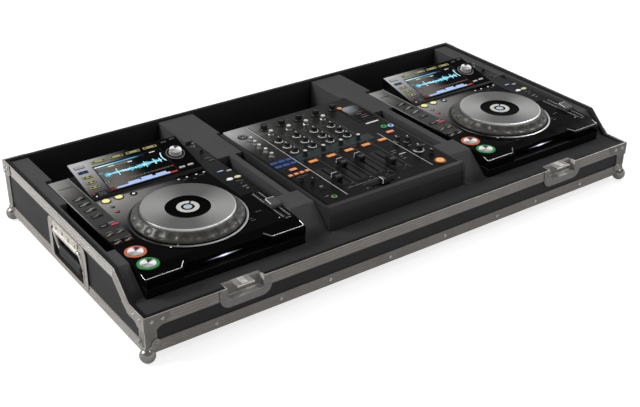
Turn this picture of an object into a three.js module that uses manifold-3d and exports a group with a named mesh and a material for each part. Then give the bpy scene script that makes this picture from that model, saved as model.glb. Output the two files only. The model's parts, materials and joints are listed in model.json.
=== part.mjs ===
// A flight-style coffin case for a disc jockey's table, loaded with two media players and a mixer.
// Millimetres, +Z up, +X to the right, +Y to the rear. The origin lies under the middle of the case,
// on the floor that its four ball corners stand on.
import * as THREE from "three";
import { mergeVertices } from "three/addons/utils/BufferGeometryUtils.js";
import Module from "manifold-3d";

const wasm = await Module();
wasm.setup();

// Fits
const clearance = 0.3; // between pieces that rest on or lie against each other
const well_play = 0.8; // beside a device that lifts out of its well
const overrun = 4; // how far a cutter runs past what it cuts

// Walls and metal of the case
const panel_thickness = 7; // laminated plywood
const profile_thickness = 1.6; // extruded aluminium edge profile
const profile_leg = 22;
const sheet_thickness = 1.2; // pressed steel fittings
const groove_width = 1.8;
const groove_depth = 0.5;
const groove_count = 3;
const rivet_radius = 3.4;
const rivet_height = 1.6;

// Height of the case over the lower side of its edge profiles
const rear_height = 116.5;
const front_height = 72.5;
const low_run = 53.5; // level low part of each side, from the front
const slope_run = 49; // run of the slope between low and high rim

// Foam insert
const floor_foam = 26.5;
const side_foam = 24.2; // beside each player
const divider_width = 57.4; // between player and mixer
const ledge_depth = 42.3; // foam ledge between front wall and players
const bay_depth = 128.3; // cable bays behind the players
const ledge_drop = 2.5; // ledge below the front rim
const insert_drop = 4.5; // foam below the high rim
const insert_setback = 7; // foam slope behind the slope of the rim
const bay_step = 5; // the raised floor ends this far behind the players
const shoulder_start = 11; // wide rear foam starts this far behind the players
const side_shoulder = 14; // how much wider the side foam is behind a player
const divider_shoulder = 16; // and the dividers, on the player's side
const mixer_shoulder = 9; // and on the mixer's side
const slot_front = 111; // finger slots, from the players' front edge
const slot_length = 197;
const outer_slot = 15.5; // width of the slot beside each player's outer side
const left_slots = [26.5, 17]; // widths of the left divider's slots, player's side and mixer's side
const right_slots = [13.5, 27]; // and of the right divider's

// Ball corners
const ball_radius = 14;
const ball_inset = 4; // ball centre in from the two side faces
const ball_drop = 2.5; // ball centre below the case
const ball_flat = 0.5; // worn flat on the floor
const petal_reach = 19; // rivet of a petal, from both edges
const petal_radius = 8;
const petal_root = 14;

// Corner braces
const brace_reach = 47;
const brace_end = 10;
const brace_drop = 20;
const brace_tail = 27; // down the upright
const brace_climb = 14; // up the slope
const brace_short = 34; // along the sides at the rear
const brace_rivet_in = 13;
const brace_rivet_pitch = 20;
const brace_rivet_drop = 9.5;

// Front latch dishes
const latch_width = 104;
const latch_bottom = 34.5; // lower edge of the flange over the case's lower side
const latch_corner = 20;
const pocket_width = 73;
const pocket_bottom = 49;
const pocket_depth = 13;
const tab_depth = 14;
const keeper_width = 38;
const keeper_thickness = 1.8;
const keeper_overhang = 5;

// Spring handles
const handle_y = 1;
const handle_width = 162;
const handle_height = 89;
const handle_bottom = 5.5;
const handle_corner = 14;
const dish_width = 129;
const dish_height = 65;
const dish_bottom = 15;
const dish_depth = 13;
const dish_corner = 7;
const dish_foam_gap = 1; // between the dish and the foam cut out for it
const bead_width = 4;
const bead_height = 1;
const strap_width = 100;
const strap_top = 91;
const rod_radius = 3.4;
const bail_width = 114; // between the middles of the rod's two sides
const bail_drop = 47; // hinge rod to grip rod
const bail_bend = 9;
const bail_gap = 6; // between the two rod ends inside the strap
const hinge_out = 1.8; // hinge rod's middle in front of the side
const hinge_below = 4.6; // hinge rod's middle below the dish's upper edge
const grip_length = 92;
const grip_tall = 25;
const grip_thick = 12.6;
const grip_round = 5;
const handle_rivets = 4;
const handle_rivet_pitch = 27;

// Media players
const player_width = 320;
const player_depth = 399;
const player_height = 75; // feet to cover top
const foot_height = 5;
const foot_radius = 14;
const foot_inset = 45;
const cover_height = 24;
const front_slope_run = 32; // the cover slopes down to its front edge
const front_slope_fall = 8;
const recess_share = 0.56; // width of the set-back middle of the front, at the front edge
const recess_depth = 12;
const recess_flare = 9; // each end of the recess leans out this much
const pod_inset_left = 41; // display pod, in from the player's left side
const pod_inset_right = 45;
const pod_depth = 116; // from its front edge to the player's rear
const pod_step = 3.6; // front edge of the display pod over the cover
const pod_rise = 29; // rear edge over the cover
const screen_inset = 49; // in from both sides of the pod
const pod_lip = 14; // pod in front of the screen
const screen_depth = 74;
const screen_recess = 1;
const jog_radius = 103;
const jog_top_radius = 87;
const jog_display_radius = 38;
const jog_height = 21.5; // jog top over the cover
const jog_seat = 1.5; // bearing ring under the jog
const jog_skirt = 5; // upright edge of the jog
const jog_band_rise = 2.4; // rounded shoulder over that edge
const jog_step = 3.5; // from the dimpled slope in to the top plate
const jog_lip = 3; // rounded lip of the top plate
const jog_lip_fall = 1;
const jog_dish = 1.5; // fall of the top plate to the display in its middle
const jog_gap = 2.2; // between the jog and the ring round it
const jog_ring_width = 4.2;
const jog_dimples = 24;
const dimple_depth = 1.4;
const dimple_shares = [0.5, 1, 0.3]; // at the skirt, the band and the step
const spindle_radius = 8;
const spindle_height = 9;
const big_button_inset = 24.5; // from the player's left side
const cue_y = 84;
const play_y = 38;
const big_button_radius = 14.4;
const big_button_rise = 2;
const collar_radius = 20;
const collar_height = 0.9;
const button_travel = 1.5;
const button_depth = 5; // button below the cover's face
const tempo_inset = 13; // from the player's right side
const tempo_y = 94; // middle of the slot
const tempo_travel = 100;
const tempo_rest = -6; // where the cap stands, before the middle
const tempo_cap_width = 20;
const tempo_cap_length = 28;
const tempo_cap_height = 12;
const selector_inset = 27; // from the pod's right side
const selector_back = 51; // from the player's rear
const selector_radius = 12.5;
const selector_height = 11;
const lever_width = 14;
const lever_length = 7;
const lever_rise = 2.4;
const key_width = 13;
const key_length = 6;
const key_rise = 1.2;
const rear_key_width = 26;
const side_key_width = 20;
const round_key_radius = 10;
const round_key_rise = 2;
const dot_radius = 3.5;
const trim_radius = 4.5;
const trim_rise = 9;

// Mixer
const mixer_width = 331;
const mixer_depth = 388;
const mixer_height = 81.5; // feet to panel top
const mixer_setback = 7; // mixer front behind the players' front
const fascia_run = 13; // front of the chassis to the panel
const fascia_groove_z = 62;
const fascia_groove = 1.6;
const cheek_width = 7;
const cheek_proud = 0.8;
const mixer_panel = 3;
const well_depth = 24; // room under the panel for the fader stems
const well_front = 12; // from the panel's front edge
const well_rear = 150;
const well_half = 145;
const channel_pitch = 44;
const channels_x = -22; // middle of the four channels
const channel_count = 4;
const cue_shift = 8; // cue key beside the channel's middle
const cue_key_width = 17;
const cue_key_length = 7;
const fader_y = 101; // middle of the channel fader slots
const fader_travel = 60;
const crossfader_y = 24;
const crossfader_travel = 45;
const crossfader_rest = 3;
const fader_cap_width = 13;
const fader_cap_length = 22;
const fader_cap_height = 13;
const stem_width = 2.4;
const stem_length = 9;
const stem_depth = 9;
const cap_lift = 1; // between a fader cap and its panel
const effect_button_inset = 36.5; // from the mixer's right side
const effect_button_y = 34;
const effect_button_radius = 9;
const effect_button_rise = 3;
const level_knob_inset = 40.5;
const level_knob_y = 95;
const knob_radius = 8;
const knob_height = 14;
const knob_stub_radius = 3;

// Faces round curved pieces
const rivet_sides = 6;
const ball_sides = 16;
const rod_sides = 8;
const bend_steps = 4;
const knob_sides = 8;
const round_sides = 24;

// The case worked out from what it holds
const wall = profile_thickness + clearance + panel_thickness + clearance;
const half_mixer = mixer_width / 2;
const divider_inner = half_mixer + well_play;
const divider_outer = divider_inner + divider_width;
const player_x = divider_outer + well_play + player_width / 2;
const side_inner = player_x + player_width / 2 + well_play;
const side_outer = side_inner + side_foam;
const half_width = side_outer + wall;
const case_depth = wall + ledge_depth + well_play + player_depth + bay_depth + wall;
const half_depth = case_depth / 2;
const case_z = ball_radius + ball_drop - ball_flat;
const base_bottom = case_z + profile_thickness + clearance;
const base_top = base_bottom + panel_thickness;
const wall_bottom = base_top + clearance;
const floor_top = wall_bottom + floor_foam;
const device_z = floor_top + clearance;
const rear_rim = case_z + rear_height;
const front_rim = case_z + front_height;
const ledge_top = front_rim - ledge_drop;
const insert_top = rear_rim - insert_drop;
const inner_front = -half_depth + wall;
const inner_rear = half_depth - wall;
const ledge_rear = inner_front + ledge_depth;
const player_front = ledge_rear + well_play;
const player_rear = player_front + player_depth;
const bay_front = player_rear + bay_step;
const shoulder_y = player_rear + shoulder_start;
const latch_x = player_x;

// Colours
const aluminium = surface(0x9d9a95, 0.35, 1);
const steel = surface(0xb9b7b3, 0.25, 1);
const laminate = surface(0x2c2c2d, 0.6, 0);
const foam = surface(0x3d3d3e, 0.95, 0);
const rubber = surface(0x202122, 0.8, 0);
const player_black = surface(0x0d0d10, 0.25, 0);
const player_silver = surface(0x8f918f, 0.3, 1);
const mixer_black = surface(0x1a1a1b, 0.5, 0);
const cap_black = surface(0x161617, 0.4, 0);
const chrome = surface(0xd6d6d6, 0.15, 1);
const orange = surface(0xe8912f, 0.4, 0);

function surface(color, roughness, metalness) {
  return new THREE.MeshStandardMaterial({ color, roughness, metalness });
}

// Solids: closed triangle meshes that can be joined and cut

function merged(geometry) {
  const bare = geometry.clone();
  for (const name of Object.keys(bare.attributes)) {
    if (name !== "position") bare.deleteAttribute(name);
  }
  const whole = mergeVertices(bare);
  const old = whole.index.array;
  const corners = [];
  for (let i = 0; i < old.length; i += 3) {
    const [a, b, c] = [old[i], old[i + 1], old[i + 2]];
    if (a !== b && b !== c && c !== a) corners.push(a, b, c);
  }
  if (volume(whole.attributes.position, corners) < 0) corners.reverse();
  whole.setIndex(corners);
  return whole;
}

function volume(position, corners) {
  const [a, b, c] = [new THREE.Vector3(), new THREE.Vector3(), new THREE.Vector3()];
  let sum = 0;
  for (let i = 0; i < corners.length; i += 3) {
    a.fromBufferAttribute(position, corners[i]);
    b.fromBufferAttribute(position, corners[i + 1]);
    c.fromBufferAttribute(position, corners[i + 2]);
    sum += a.dot(b.cross(c));
  }
  return sum;
}

function solid(geometry) {
  const whole = merged(geometry);
  const vertProperties = Float32Array.from(whole.attributes.position.array);
  const triVerts = Uint32Array.from(whole.index.array);
  return new wasm.Manifold(new wasm.Mesh({ numProp: 3, vertProperties, triVerts }));
}

function geometry_of(body) {
  const mesh = body.getMesh();
  const geometry = new THREE.BufferGeometry();
  geometry.setAttribute("position", new THREE.BufferAttribute(mesh.vertProperties, 3));
  geometry.setIndex(Array.from(mesh.triVerts));
  return geometry;
}

function join(first, ...others) {
  let body = solid(first);
  for (const other of others) body = body.add(solid(other));
  return geometry_of(body);
}

function cut(first, ...tools) {
  let body = solid(first);
  for (const tool of tools) body = body.subtract(solid(tool));
  return geometry_of(body);
}

function block(x, y, z) {
  const size = [x, y, z].map(([low, high]) => high - low);
  const middle = [x, y, z].map(([low, high]) => (low + high) / 2);
  return new THREE.BoxGeometry(...size).translate(...middle);
}

function drum(radius, bottom, top, sides) {
  const upright = new THREE.CylinderGeometry(radius, radius, top - bottom, sides);
  return upright.rotateX(Math.PI / 2).translate(0, 0, (bottom + top) / 2);
}

// Turns a profile of [radius, height] points about the Z axis.
function turned(points, sides) {
  const profile = points.map(([radius, height]) => new THREE.Vector2(radius, height));
  return new THREE.LatheGeometry(profile, sides).rotateX(Math.PI / 2);
}

function outline(points) {
  return new THREE.Shape(points.map(([u, v]) => new THREE.Vector2(u, v)));
}

function raised(shape, bottom, top, curveSegments = 2) {
  const options = { depth: top - bottom, bevelEnabled: false, curveSegments };
  return new THREE.ExtrudeGeometry(shape, options).translate(0, 0, bottom);
}

// A shape drawn in (y, z), filled from one x to another.
function lengthwise(shape, [from, to]) {
  const plate = raised(shape, from, to);
  const turn = new THREE.Matrix4();
  turn.makeBasis(axis(0, 1, 0), axis(0, 0, 1), axis(1, 0, 0));
  return plate.applyMatrix4(turn);
}

function axis(x, y, z) {
  return new THREE.Vector3(x, y, z);
}

function rounded(width, bottom, top, lower, upper) {
  const half = width / 2;
  const shape = new THREE.Shape();
  shape.moveTo(-half + lower, bottom);
  shape.lineTo(half - lower, bottom);
  shape.absarc(half - lower, bottom + lower, lower, -Math.PI / 2, 0, false);
  shape.lineTo(half, top - upper);
  shape.absarc(half - upper, top - upper, upper, 0, Math.PI / 2, false);
  shape.lineTo(-half + upper, top);
  shape.absarc(-half + upper, top - upper, upper, Math.PI / 2, Math.PI, false);
  shape.lineTo(-half, bottom + lower);
  shape.absarc(-half + lower, bottom + lower, lower, Math.PI, Math.PI * 1.5, false);
  return shape;
}

// The four faces of the case. A piece drawn on a face has u to the right, v up and w outward,
// with w = 0 in the outer face of the aluminium profiles.
const front = { turn: 0, distance: half_depth };
const left = { turn: -Math.PI / 2, distance: half_width };
const rear = { turn: Math.PI, distance: half_depth };

function on_face(geometry, face) {
  geometry.translate(0, 0, face.distance);
  return geometry.rotateX(Math.PI / 2).rotateZ(face.turn);
}

function mirrored(geometry, x = -1, y = 1) {
  return geometry.clone().scale(x, y, 1);
}

function rivet(u, v) {
  const shoulder = rivet_height * 0.6;
  const crown = rivet_radius * 0.65;
  const root = -clearance - sheet_thickness / 2;
  const profile = [[0, root], [rivet_radius, root], [rivet_radius, 0], [crown, shoulder]];
  return turned([...profile, [0, rivet_height]], rivet_sides).translate(u, v, 0);
}

// Aluminium edge profiles

// Points along the outer face of a leg, with its lengthwise grooves: [distance along, depth].
function grooved_leg(leg) {
  const points = [[0, 0]];
  for (let i = 1; i <= groove_count; i += 1) {
    const middle = (leg * i) / (groove_count + 1);
    const from = middle - groove_width / 2;
    const to = middle + groove_width / 2;
    points.push([from, 0], [from, groove_depth], [to, groove_depth], [to, 0]);
  }
  return [...points, [leg, 0]];
}

// An angle section. The grooved leg climbs the face, the other one goes in from it.
function angle_section(inner_leg, inner_grooves) {
  const t = profile_thickness;
  const face_side = grooved_leg(profile_leg).map(([along, depth]) => [depth, along]);
  const inner_side = inner_grooves ? grooved_leg(inner_leg).reverse() : [[inner_leg, 0]];
  const corner = [[t, profile_leg], [t, t], [inner_leg, t]];
  return outline([...face_side, ...corner, ...inner_side.filter(([along]) => along > 0)]);
}

function strip_section() {
  const face_side = grooved_leg(profile_leg).map(([along, depth]) => [depth, along]);
  return outline([...face_side, [profile_thickness, profile_leg], [profile_thickness, 0]]);
}

// An edge profile along a face, from one u to another, with its lower edge at a height.
// Mitred ends are drawn back as much as they lie in from the face.
function edge_profile(section, [from, to], height, face, mitred) {
  const length = to - from;
  const bar = raised(section, 0, length);
  const place = bar.attributes.position;
  for (let i = 0; mitred && i < place.count; i += 1) {
    const back = place.getX(i) + clearance;
    place.setZ(i, place.getZ(i) > length / 2 ? length - back : back);
  }
  const turn = new THREE.Matrix4();
  turn.makeBasis(axis(0, 1, 0), axis(0, 0, 1), axis(1, 0, 0));
  bar.applyMatrix4(turn).translate(from, -face.distance, height);
  return bar.rotateZ(face.turn);
}

function bottom_profile(face, half_length, rivet_places) {
  const section = angle_section(profile_leg, false);
  const bar = edge_profile(section, [-half_length, half_length], case_z, face, true);
  const height = case_z + profile_leg / 2;
  const heads = rivet_places.map((u) => on_face(rivet(u, height), face));
  return heads.length ? join(bar, ...heads) : bar;
}

// The side profiles are notched for the handle dish.
function side_bottom_profile() {
  return cut(bottom_profile(left, half_depth, []), dish_room(clearance, 0));
}

function front_rivets() {
  const shares = [0.117, 0.356, 0.541, 0.769];
  const places = shares.map((share) => share * half_width);
  return [...places.map((u) => -u), ...places];
}

// The rim line of a side, as [y, z] points from front to rear, moved down and in by an offset.
function rim_line(offset) {
  const steep = Math.atan2(rear_height - front_height, slope_run);
  const low_turn = offset * Math.tan(steep / 2);
  const y_low = -half_depth + low_run;
  const y_high = y_low + slope_run;
  return [
    [-half_depth + profile_thickness + clearance, front_rim - offset],
    [y_low + low_turn, front_rim - offset],
    [y_high + low_turn, rear_rim - offset],
    [half_depth - profile_thickness - clearance, rear_rim - offset],
  ];
}

function rim_band(from, to) {
  return outline([...rim_line(from), ...rim_line(to).reverse()]);
}

function side_rim() {
  const inner = -half_width + profile_thickness;
  const band = lengthwise(rim_band(0, profile_leg), [-half_width, inner]);
  const grooves = grooved_leg(profile_leg).filter(([, depth]) => depth > 0);
  const tools = [];
  for (let i = 0; i < grooves.length; i += 2) {
    const groove = rim_band(grooves[i][0], grooves[i + 1][0]);
    tools.push(lengthwise(groove, [-half_width - overrun, -half_width + groove_depth]));
  }
  return cut(band, ...tools);
}

function end_rim(face, [from, to], top) {
  return edge_profile(strip_section(), [from, to], top - profile_leg, face, false);
}

// Ball corners and corner braces, drawn at the front left corner of the case.
// "in" counts from the corner along a face.

function petal() {
  const reach = petal_reach;
  const hip = petal_reach - petal_radius;
  const shape = new THREE.Shape();
  shape.moveTo(0, 0);
  shape.lineTo(0, petal_root);
  shape.quadraticCurveTo(hip * 0.7, petal_root, hip, reach);
  shape.absarc(reach, reach, petal_radius, Math.PI, -Math.PI / 2, true);
  shape.quadraticCurveTo(petal_root, hip * 0.7, petal_root, 0);
  const plate = raised(shape, 0, sheet_thickness + clearance);
  return join(plate, rivet(reach, reach).translate(0, 0, sheet_thickness + clearance));
}

function ball_corner() {
  const edge = [-half_width, -half_depth, case_z];
  const ball = new THREE.SphereGeometry(ball_radius, ball_sides, ball_sides / 2);
  ball.rotateX(Math.PI / 2);
  ball.translate(edge[0] + ball_inset, edge[1] + ball_inset, case_z - ball_drop);
  const over_front = petal().rotateX(Math.PI / 2).translate(...edge);
  const over_side = mirrored(petal()).rotateX(Math.PI / 2).rotateZ(-Math.PI / 2);
  over_side.translate(...edge);
  const under = mirrored(petal()).rotateY(Math.PI).translate(...edge);
  const corner = block(
    [edge[0] - clearance, 0],
    [edge[1] - clearance, 0],
    [case_z - clearance, rear_rim],
  );
  const floor = block(
    [-half_width - ball_radius - overrun, 0],
    [-half_depth - ball_radius - overrun, 0],
    [-ball_radius, 0],
  );
  return cut(join(ball, over_front, over_side, under), corner, floor);
}

function upright_bar(height) {
  const bottom = case_z + profile_leg + clearance;
  const top = case_z + height - profile_leg - clearance;
  return raised(angle_section(profile_leg, true), bottom, top);
}

// The end of a corner brace on the front or rear face.
function brace_end_outline(top) {
  const low = top - brace_drop - brace_end * 0.3;
  return outline([
    [0, top - brace_tail],
    [profile_leg, top - brace_tail],
    [profile_leg + brace_end * 0.5, low],
    [brace_reach - brace_end, low + brace_end * 0.3],
    [brace_reach, top - brace_end],
    [brace_reach, top],
    [0, top],
  ]);
}

// The end of the front brace on the side, which follows the rim up its slope.
function brace_slope_outline(top) {
  const climb = Math.atan2(rear_height - front_height, slope_run);
  const along = [Math.cos(climb) * brace_climb, Math.sin(climb) * brace_climb];
  const down = [Math.sin(climb) * brace_drop, -Math.cos(climb) * brace_drop];
  const tip = [low_run + along[0], top + along[1]];
  return outline([
    [0, top - brace_tail],
    [profile_leg, top - brace_tail],
    [profile_leg + brace_end, top - brace_drop],
    [low_run, top - brace_drop],
    [tip[0] + down[0], tip[1] + down[1]],
    tip,
    [low_run, top],
    [0, top],
  ]);
}

function brace_short_outline(top) {
  return outline([
    [0, top - brace_tail],
    [profile_leg, top - brace_tail],
    [brace_short, top - brace_drop],
    [brace_short, top],
    [0, top],
  ]);
}

// An upright with its riveted corner brace, in a corner at x = y = 0.
function corner_post(height, side_outline, side_rivets) {
  const top = case_z + height;
  const proud = clearance + sheet_thickness;
  const end_plate = raised(brace_end_outline(top), -clearance, proud).rotateX(Math.PI / 2);
  const side_plate = mirrored(raised(side_outline(top), -clearance, proud));
  side_plate.rotateX(Math.PI / 2).rotateZ(-Math.PI / 2);
  const rims = block(
    [-clearance, low_run + slope_run],
    [-clearance, low_run + slope_run],
    [top - profile_leg - clearance, top + rear_height],
  );
  const edge_strip = block([-proud, 0], [-proud, 0], [top - brace_tail, top]);
  const heads = [];
  for (let i = 0; i < 2; i += 1) {
    const u = brace_rivet_in + i * brace_rivet_pitch;
    const head = rivet(u, top - brace_rivet_drop).translate(0, 0, proud);
    heads.push(head.rotateX(Math.PI / 2));
  }
  for (const [u, drop] of side_rivets) {
    const head = rivet(-u, top - drop).translate(0, 0, proud);
    heads.push(head.rotateX(Math.PI / 2).rotateZ(-Math.PI / 2));
  }
  const brace = cut(join(end_plate, side_plate, edge_strip), rims);
  return join(upright_bar(height), brace, ...heads);
}

function front_post() {
  const spread = brace_rivet_pitch;
  const rivets = [[brace_rivet_in, brace_rivet_drop], [brace_rivet_in + spread, brace_rivet_drop]];
  const post = corner_post(front_height, brace_slope_outline, rivets);
  return post.translate(-half_width, -half_depth, 0);
}

function rear_post() {
  const step = brace_rivet_drop;
  const rivets = [[step, step], [step + brace_rivet_in, step], [step, brace_drop]];
  const post = corner_post(rear_height, brace_short_outline, rivets);
  return mirrored(post, 1, -1).translate(-half_width, half_depth, 0);
}

// Plywood panels

const panel_out = profile_thickness + clearance; // panel face behind the profiles' face

function base_panel() {
  const x = half_width - panel_out;
  const y = half_depth - panel_out;
  return block([-x, x], [-y, y], [base_bottom, base_top]);
}

function front_panel() {
  const x = half_width - panel_out;
  const y = [-half_depth + panel_out, -half_depth + panel_out + panel_thickness];
  const half = pocket_width / 2 + sheet_thickness + clearance;
  const bottom = case_z + pocket_bottom - sheet_thickness - clearance;
  const notches = [-latch_x, latch_x].map((middle) =>
    block([middle - half, middle + half], [y[0] - overrun, y[1] + overrun], [bottom, front_rim + overrun]),
  );
  return cut(block([-x, x], y, [wall_bottom, front_rim]), ...notches);
}

function rear_panel() {
  const x = half_width - panel_out;
  const y = half_depth - panel_out;
  return block([-x, x], [y - panel_thickness, y], [wall_bottom, rear_rim]);
}

function side_panel() {
  const ends = panel_out + panel_thickness + clearance;
  const line = rim_line(0);
  line.at(0)[0] = -half_depth + ends;
  line.at(-1)[0] = half_depth - ends;
  const shape = outline([...line, [line.at(-1)[0], wall_bottom], [line[0][0], wall_bottom]]);
  const x = -half_width + panel_out;
  const plate = lengthwise(shape, [x, x + panel_thickness]);
  return cut(plate, dish_room(clearance, panel_out));
}

// Foam insert

// Side view of the tall foam blocks: they stand on the raised floor, and behind it on the base.
function insert_outline(first_y) {
  const slope_y = -half_depth + low_run + insert_setback;
  return outline([
    [first_y, floor_top + clearance],
    [first_y, ledge_top],
    [slope_y, ledge_top],
    [slope_y + slope_run, insert_top],
    [inner_rear, insert_top],
    [inner_rear, wall_bottom],
    [bay_front + clearance, wall_bottom],
    [bay_front + clearance, floor_top + clearance],
  ]);
}

const block_front = ledge_rear + clearance;
const slots_y = [player_front + slot_front, player_front + slot_front + slot_length];

function finger_slot(x) {
  return block(x, slots_y, [wall_bottom, insert_top + overrun]);
}

function side_block() {
  const x = [-side_outer, -side_inner + side_shoulder];
  const body = lengthwise(insert_outline(block_front), x);
  const beside = block([-side_inner, x[1] + overrun], [block_front - overrun, shoulder_y], [0, rear_rim]);
  const slot = finger_slot([-side_inner - outer_slot, -side_inner + overrun]);
  return cut(body, beside, slot, dish_room(dish_foam_gap, panel_out));
}

function divider([player_slot, mixer_slot]) {
  const x = [-divider_outer - divider_shoulder, -divider_inner + mixer_shoulder];
  const body = lengthwise(insert_outline(block_front), x);
  const ahead = [block_front - overrun, shoulder_y];
  const player_side = block([x[0] - overrun, -divider_outer], ahead, [0, rear_rim]);
  const mixer_side = block([-divider_inner, x[1] + overrun], ahead, [0, rear_rim]);
  const player_gap = finger_slot([-divider_outer - overrun, -divider_outer + player_slot]);
  const mixer_gap = finger_slot([-divider_inner - mixer_slot, -divider_inner + overrun]);
  return cut(body, player_side, mixer_side, player_gap, mixer_gap);
}

function ledge_block() {
  const x = [-side_outer, side_outer];
  const z = [floor_top + clearance, ledge_top];
  const board = block(x, [inner_front, ledge_rear], z);
  const tongue_x = [-half_mixer + well_play, half_mixer - well_play];
  const tongue = block(tongue_x, [ledge_rear - overrun, ledge_rear + mixer_setback], z);
  const half = pocket_width / 2 + sheet_thickness + clearance;
  const back = -half_depth + pocket_depth + sheet_thickness + clearance;
  const bottom = case_z + pocket_bottom - sheet_thickness - clearance;
  const notches = [-latch_x, latch_x].map((middle) =>
    block([middle - half, middle + half], [inner_front - overrun, back], [bottom, ledge_top + overrun]),
  );
  return cut(join(board, tongue), ...notches);
}

function floor_slab() {
  const slab = block([-side_outer, side_outer], [inner_front, bay_front], [wall_bottom, floor_top]);
  const room = dish_room(clearance, 0);
  return cut(slab, room, mirrored(room));
}

// Front latch dish: a flange on the face, an open-topped pocket and a keeper on the ledge

function latch_dish() {
  const out = clearance + sheet_thickness;
  const flange_bottom = case_z + latch_bottom;
  const flange_shape = rounded(latch_width, flange_bottom, front_rim, latch_corner, sheet_thickness);
  const flange = raised(flange_shape, clearance, out);
  const half = pocket_width / 2;
  const bottom = case_z + pocket_bottom;
  const t = sheet_thickness;
  const back = -pocket_depth;
  const box = block([-half - t, half + t], [bottom - t, front_rim], [back - t, out]);
  const hollow = block([-half, half], [bottom, front_rim + overrun], [back, out + overrun]);
  const tab_z = [ledge_top + clearance, ledge_top + clearance + t];
  const tab = block([-half - t, half + t], tab_z, [back - t - tab_depth, back]);
  const keeper_z = [tab_z[0], tab_z[1] + keeper_thickness];
  const keeper_y = [back - t - tab_depth * 0.8, back + keeper_overhang];
  const keeper = block([-keeper_width / 2, keeper_width / 2], keeper_z, keeper_y);
  const above = block([-half - t - overrun, half + t + overrun], [tab_z[1], front_rim + overrun], [
    back - t - overrun,
    back,
  ]);
  const dish = cut(join(flange, box), hollow, above);
  return on_face(join(dish, tab, keeper), front);
}

// Spring handle: a pressed dish, a rod bail in a rolled strap and a rubber grip

const hinge_z = case_z + dish_bottom + dish_height - hinge_below;
const grip_w = -dish_depth + clearance + grip_thick / 2;
const bail_lean = Math.asin((hinge_out - grip_w) / bail_drop);

// The room that the dish takes up behind the face, with a margin.
function dish_room(margin, behind) {
  const low = case_z + dish_bottom - sheet_thickness - margin;
  const high = case_z + dish_bottom + dish_height + sheet_thickness + margin;
  const width = dish_width + 2 * (sheet_thickness + margin);
  const shape = rounded(width, low, high, dish_corner, dish_corner);
  const deep = -dish_depth - sheet_thickness - margin;
  const room = raised(shape, deep, -behind + overrun);
  return on_face(room.translate(-handle_y, 0, 0), left);
}

function handle_dish() {
  const out = clearance + sheet_thickness;
  const t = sheet_thickness;
  const bottom = case_z + handle_bottom;
  const plate = rounded(handle_width, bottom, bottom + handle_height, handle_corner, handle_corner);
  const flange = raised(plate, clearance, out);
  const low = case_z + dish_bottom;
  const high = low + dish_height;
  const bead_shape = rounded(
    dish_width + 2 * bead_width,
    low - bead_width,
    high + bead_width,
    dish_corner + bead_width,
    dish_corner + bead_width,
  );
  const bead = raised(bead_shape, out - t / 2, out + bead_height);
  const shell_shape = rounded(dish_width + 2 * t, low - t, high + t, dish_corner + t, dish_corner + t);
  const shell = raised(shell_shape, -dish_depth - t, out);
  const hollow_shape = rounded(dish_width, low, high, dish_corner, dish_corner);
  const hollow = raised(hollow_shape, -dish_depth, out + overrun);
  const half = strap_width / 2;
  const roll_out = rod_radius + clearance + t;
  const strap_w = [out - t / 2, hinge_out + roll_out];
  const strap = block([-half, half], [high - t, case_z + strap_top], [strap_w[0], out + bead_height + t]);
  const roll = drum(roll_out, -half, half, rod_sides * 2).rotateY(Math.PI / 2);
  roll.translate(0, hinge_z, hinge_out);
  const bore = drum(rod_radius + clearance, -half - overrun, half + overrun, rod_sides * 2);
  bore.rotateY(Math.PI / 2).translate(0, hinge_z, hinge_out);
  const neck = block([-half, half], [hinge_z, high], [strap_w[0], out + bead_height + t]);
  const heads = [];
  for (let i = 0; i < handle_rivets; i += 1) {
    const u = (i - (handle_rivets - 1) / 2) * handle_rivet_pitch;
    const v = (high + case_z + strap_top) / 2;
    heads.push(rivet(u, v).translate(0, 0, out + bead_height + t));
  }
  const pressed = cut(join(flange, bead, shell), hollow);
  const dish = cut(join(pressed, strap, roll, neck, ...heads), bore);
  return on_face(dish.translate(-handle_y, 0, 0), left);
}

// The bail lies in the (u, v) plane here, hinge rod on the u axis.
function bail_path() {
  const half = bail_width / 2;
  const r = bail_bend;
  const path = new THREE.CurvePath();
  const line = (from, to) => path.add(new THREE.LineCurve3(axis(...from, 0), axis(...to, 0)));
  const bend = (from, knee, to) =>
    path.add(new THREE.QuadraticBezierCurve3(axis(...from, 0), axis(...knee, 0), axis(...to, 0)));
  line([-bail_gap / 2, 0], [-half + r, 0]);
  bend([-half + r, 0], [-half, 0], [-half, -r]);
  line([-half, -r], [-half, -bail_drop + r]);
  bend([-half, -bail_drop + r], [-half, -bail_drop], [-half + r, -bail_drop]);
  line([-half + r, -bail_drop], [half - r, -bail_drop]);
  bend([half - r, -bail_drop], [half, -bail_drop], [half, -bail_drop + r]);
  line([half, -bail_drop + r], [half, -r]);
  bend([half, -r], [half, 0], [half - r, 0]);
  line([half - r, 0], [bail_gap / 2, 0]);
  return path;
}

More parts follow.
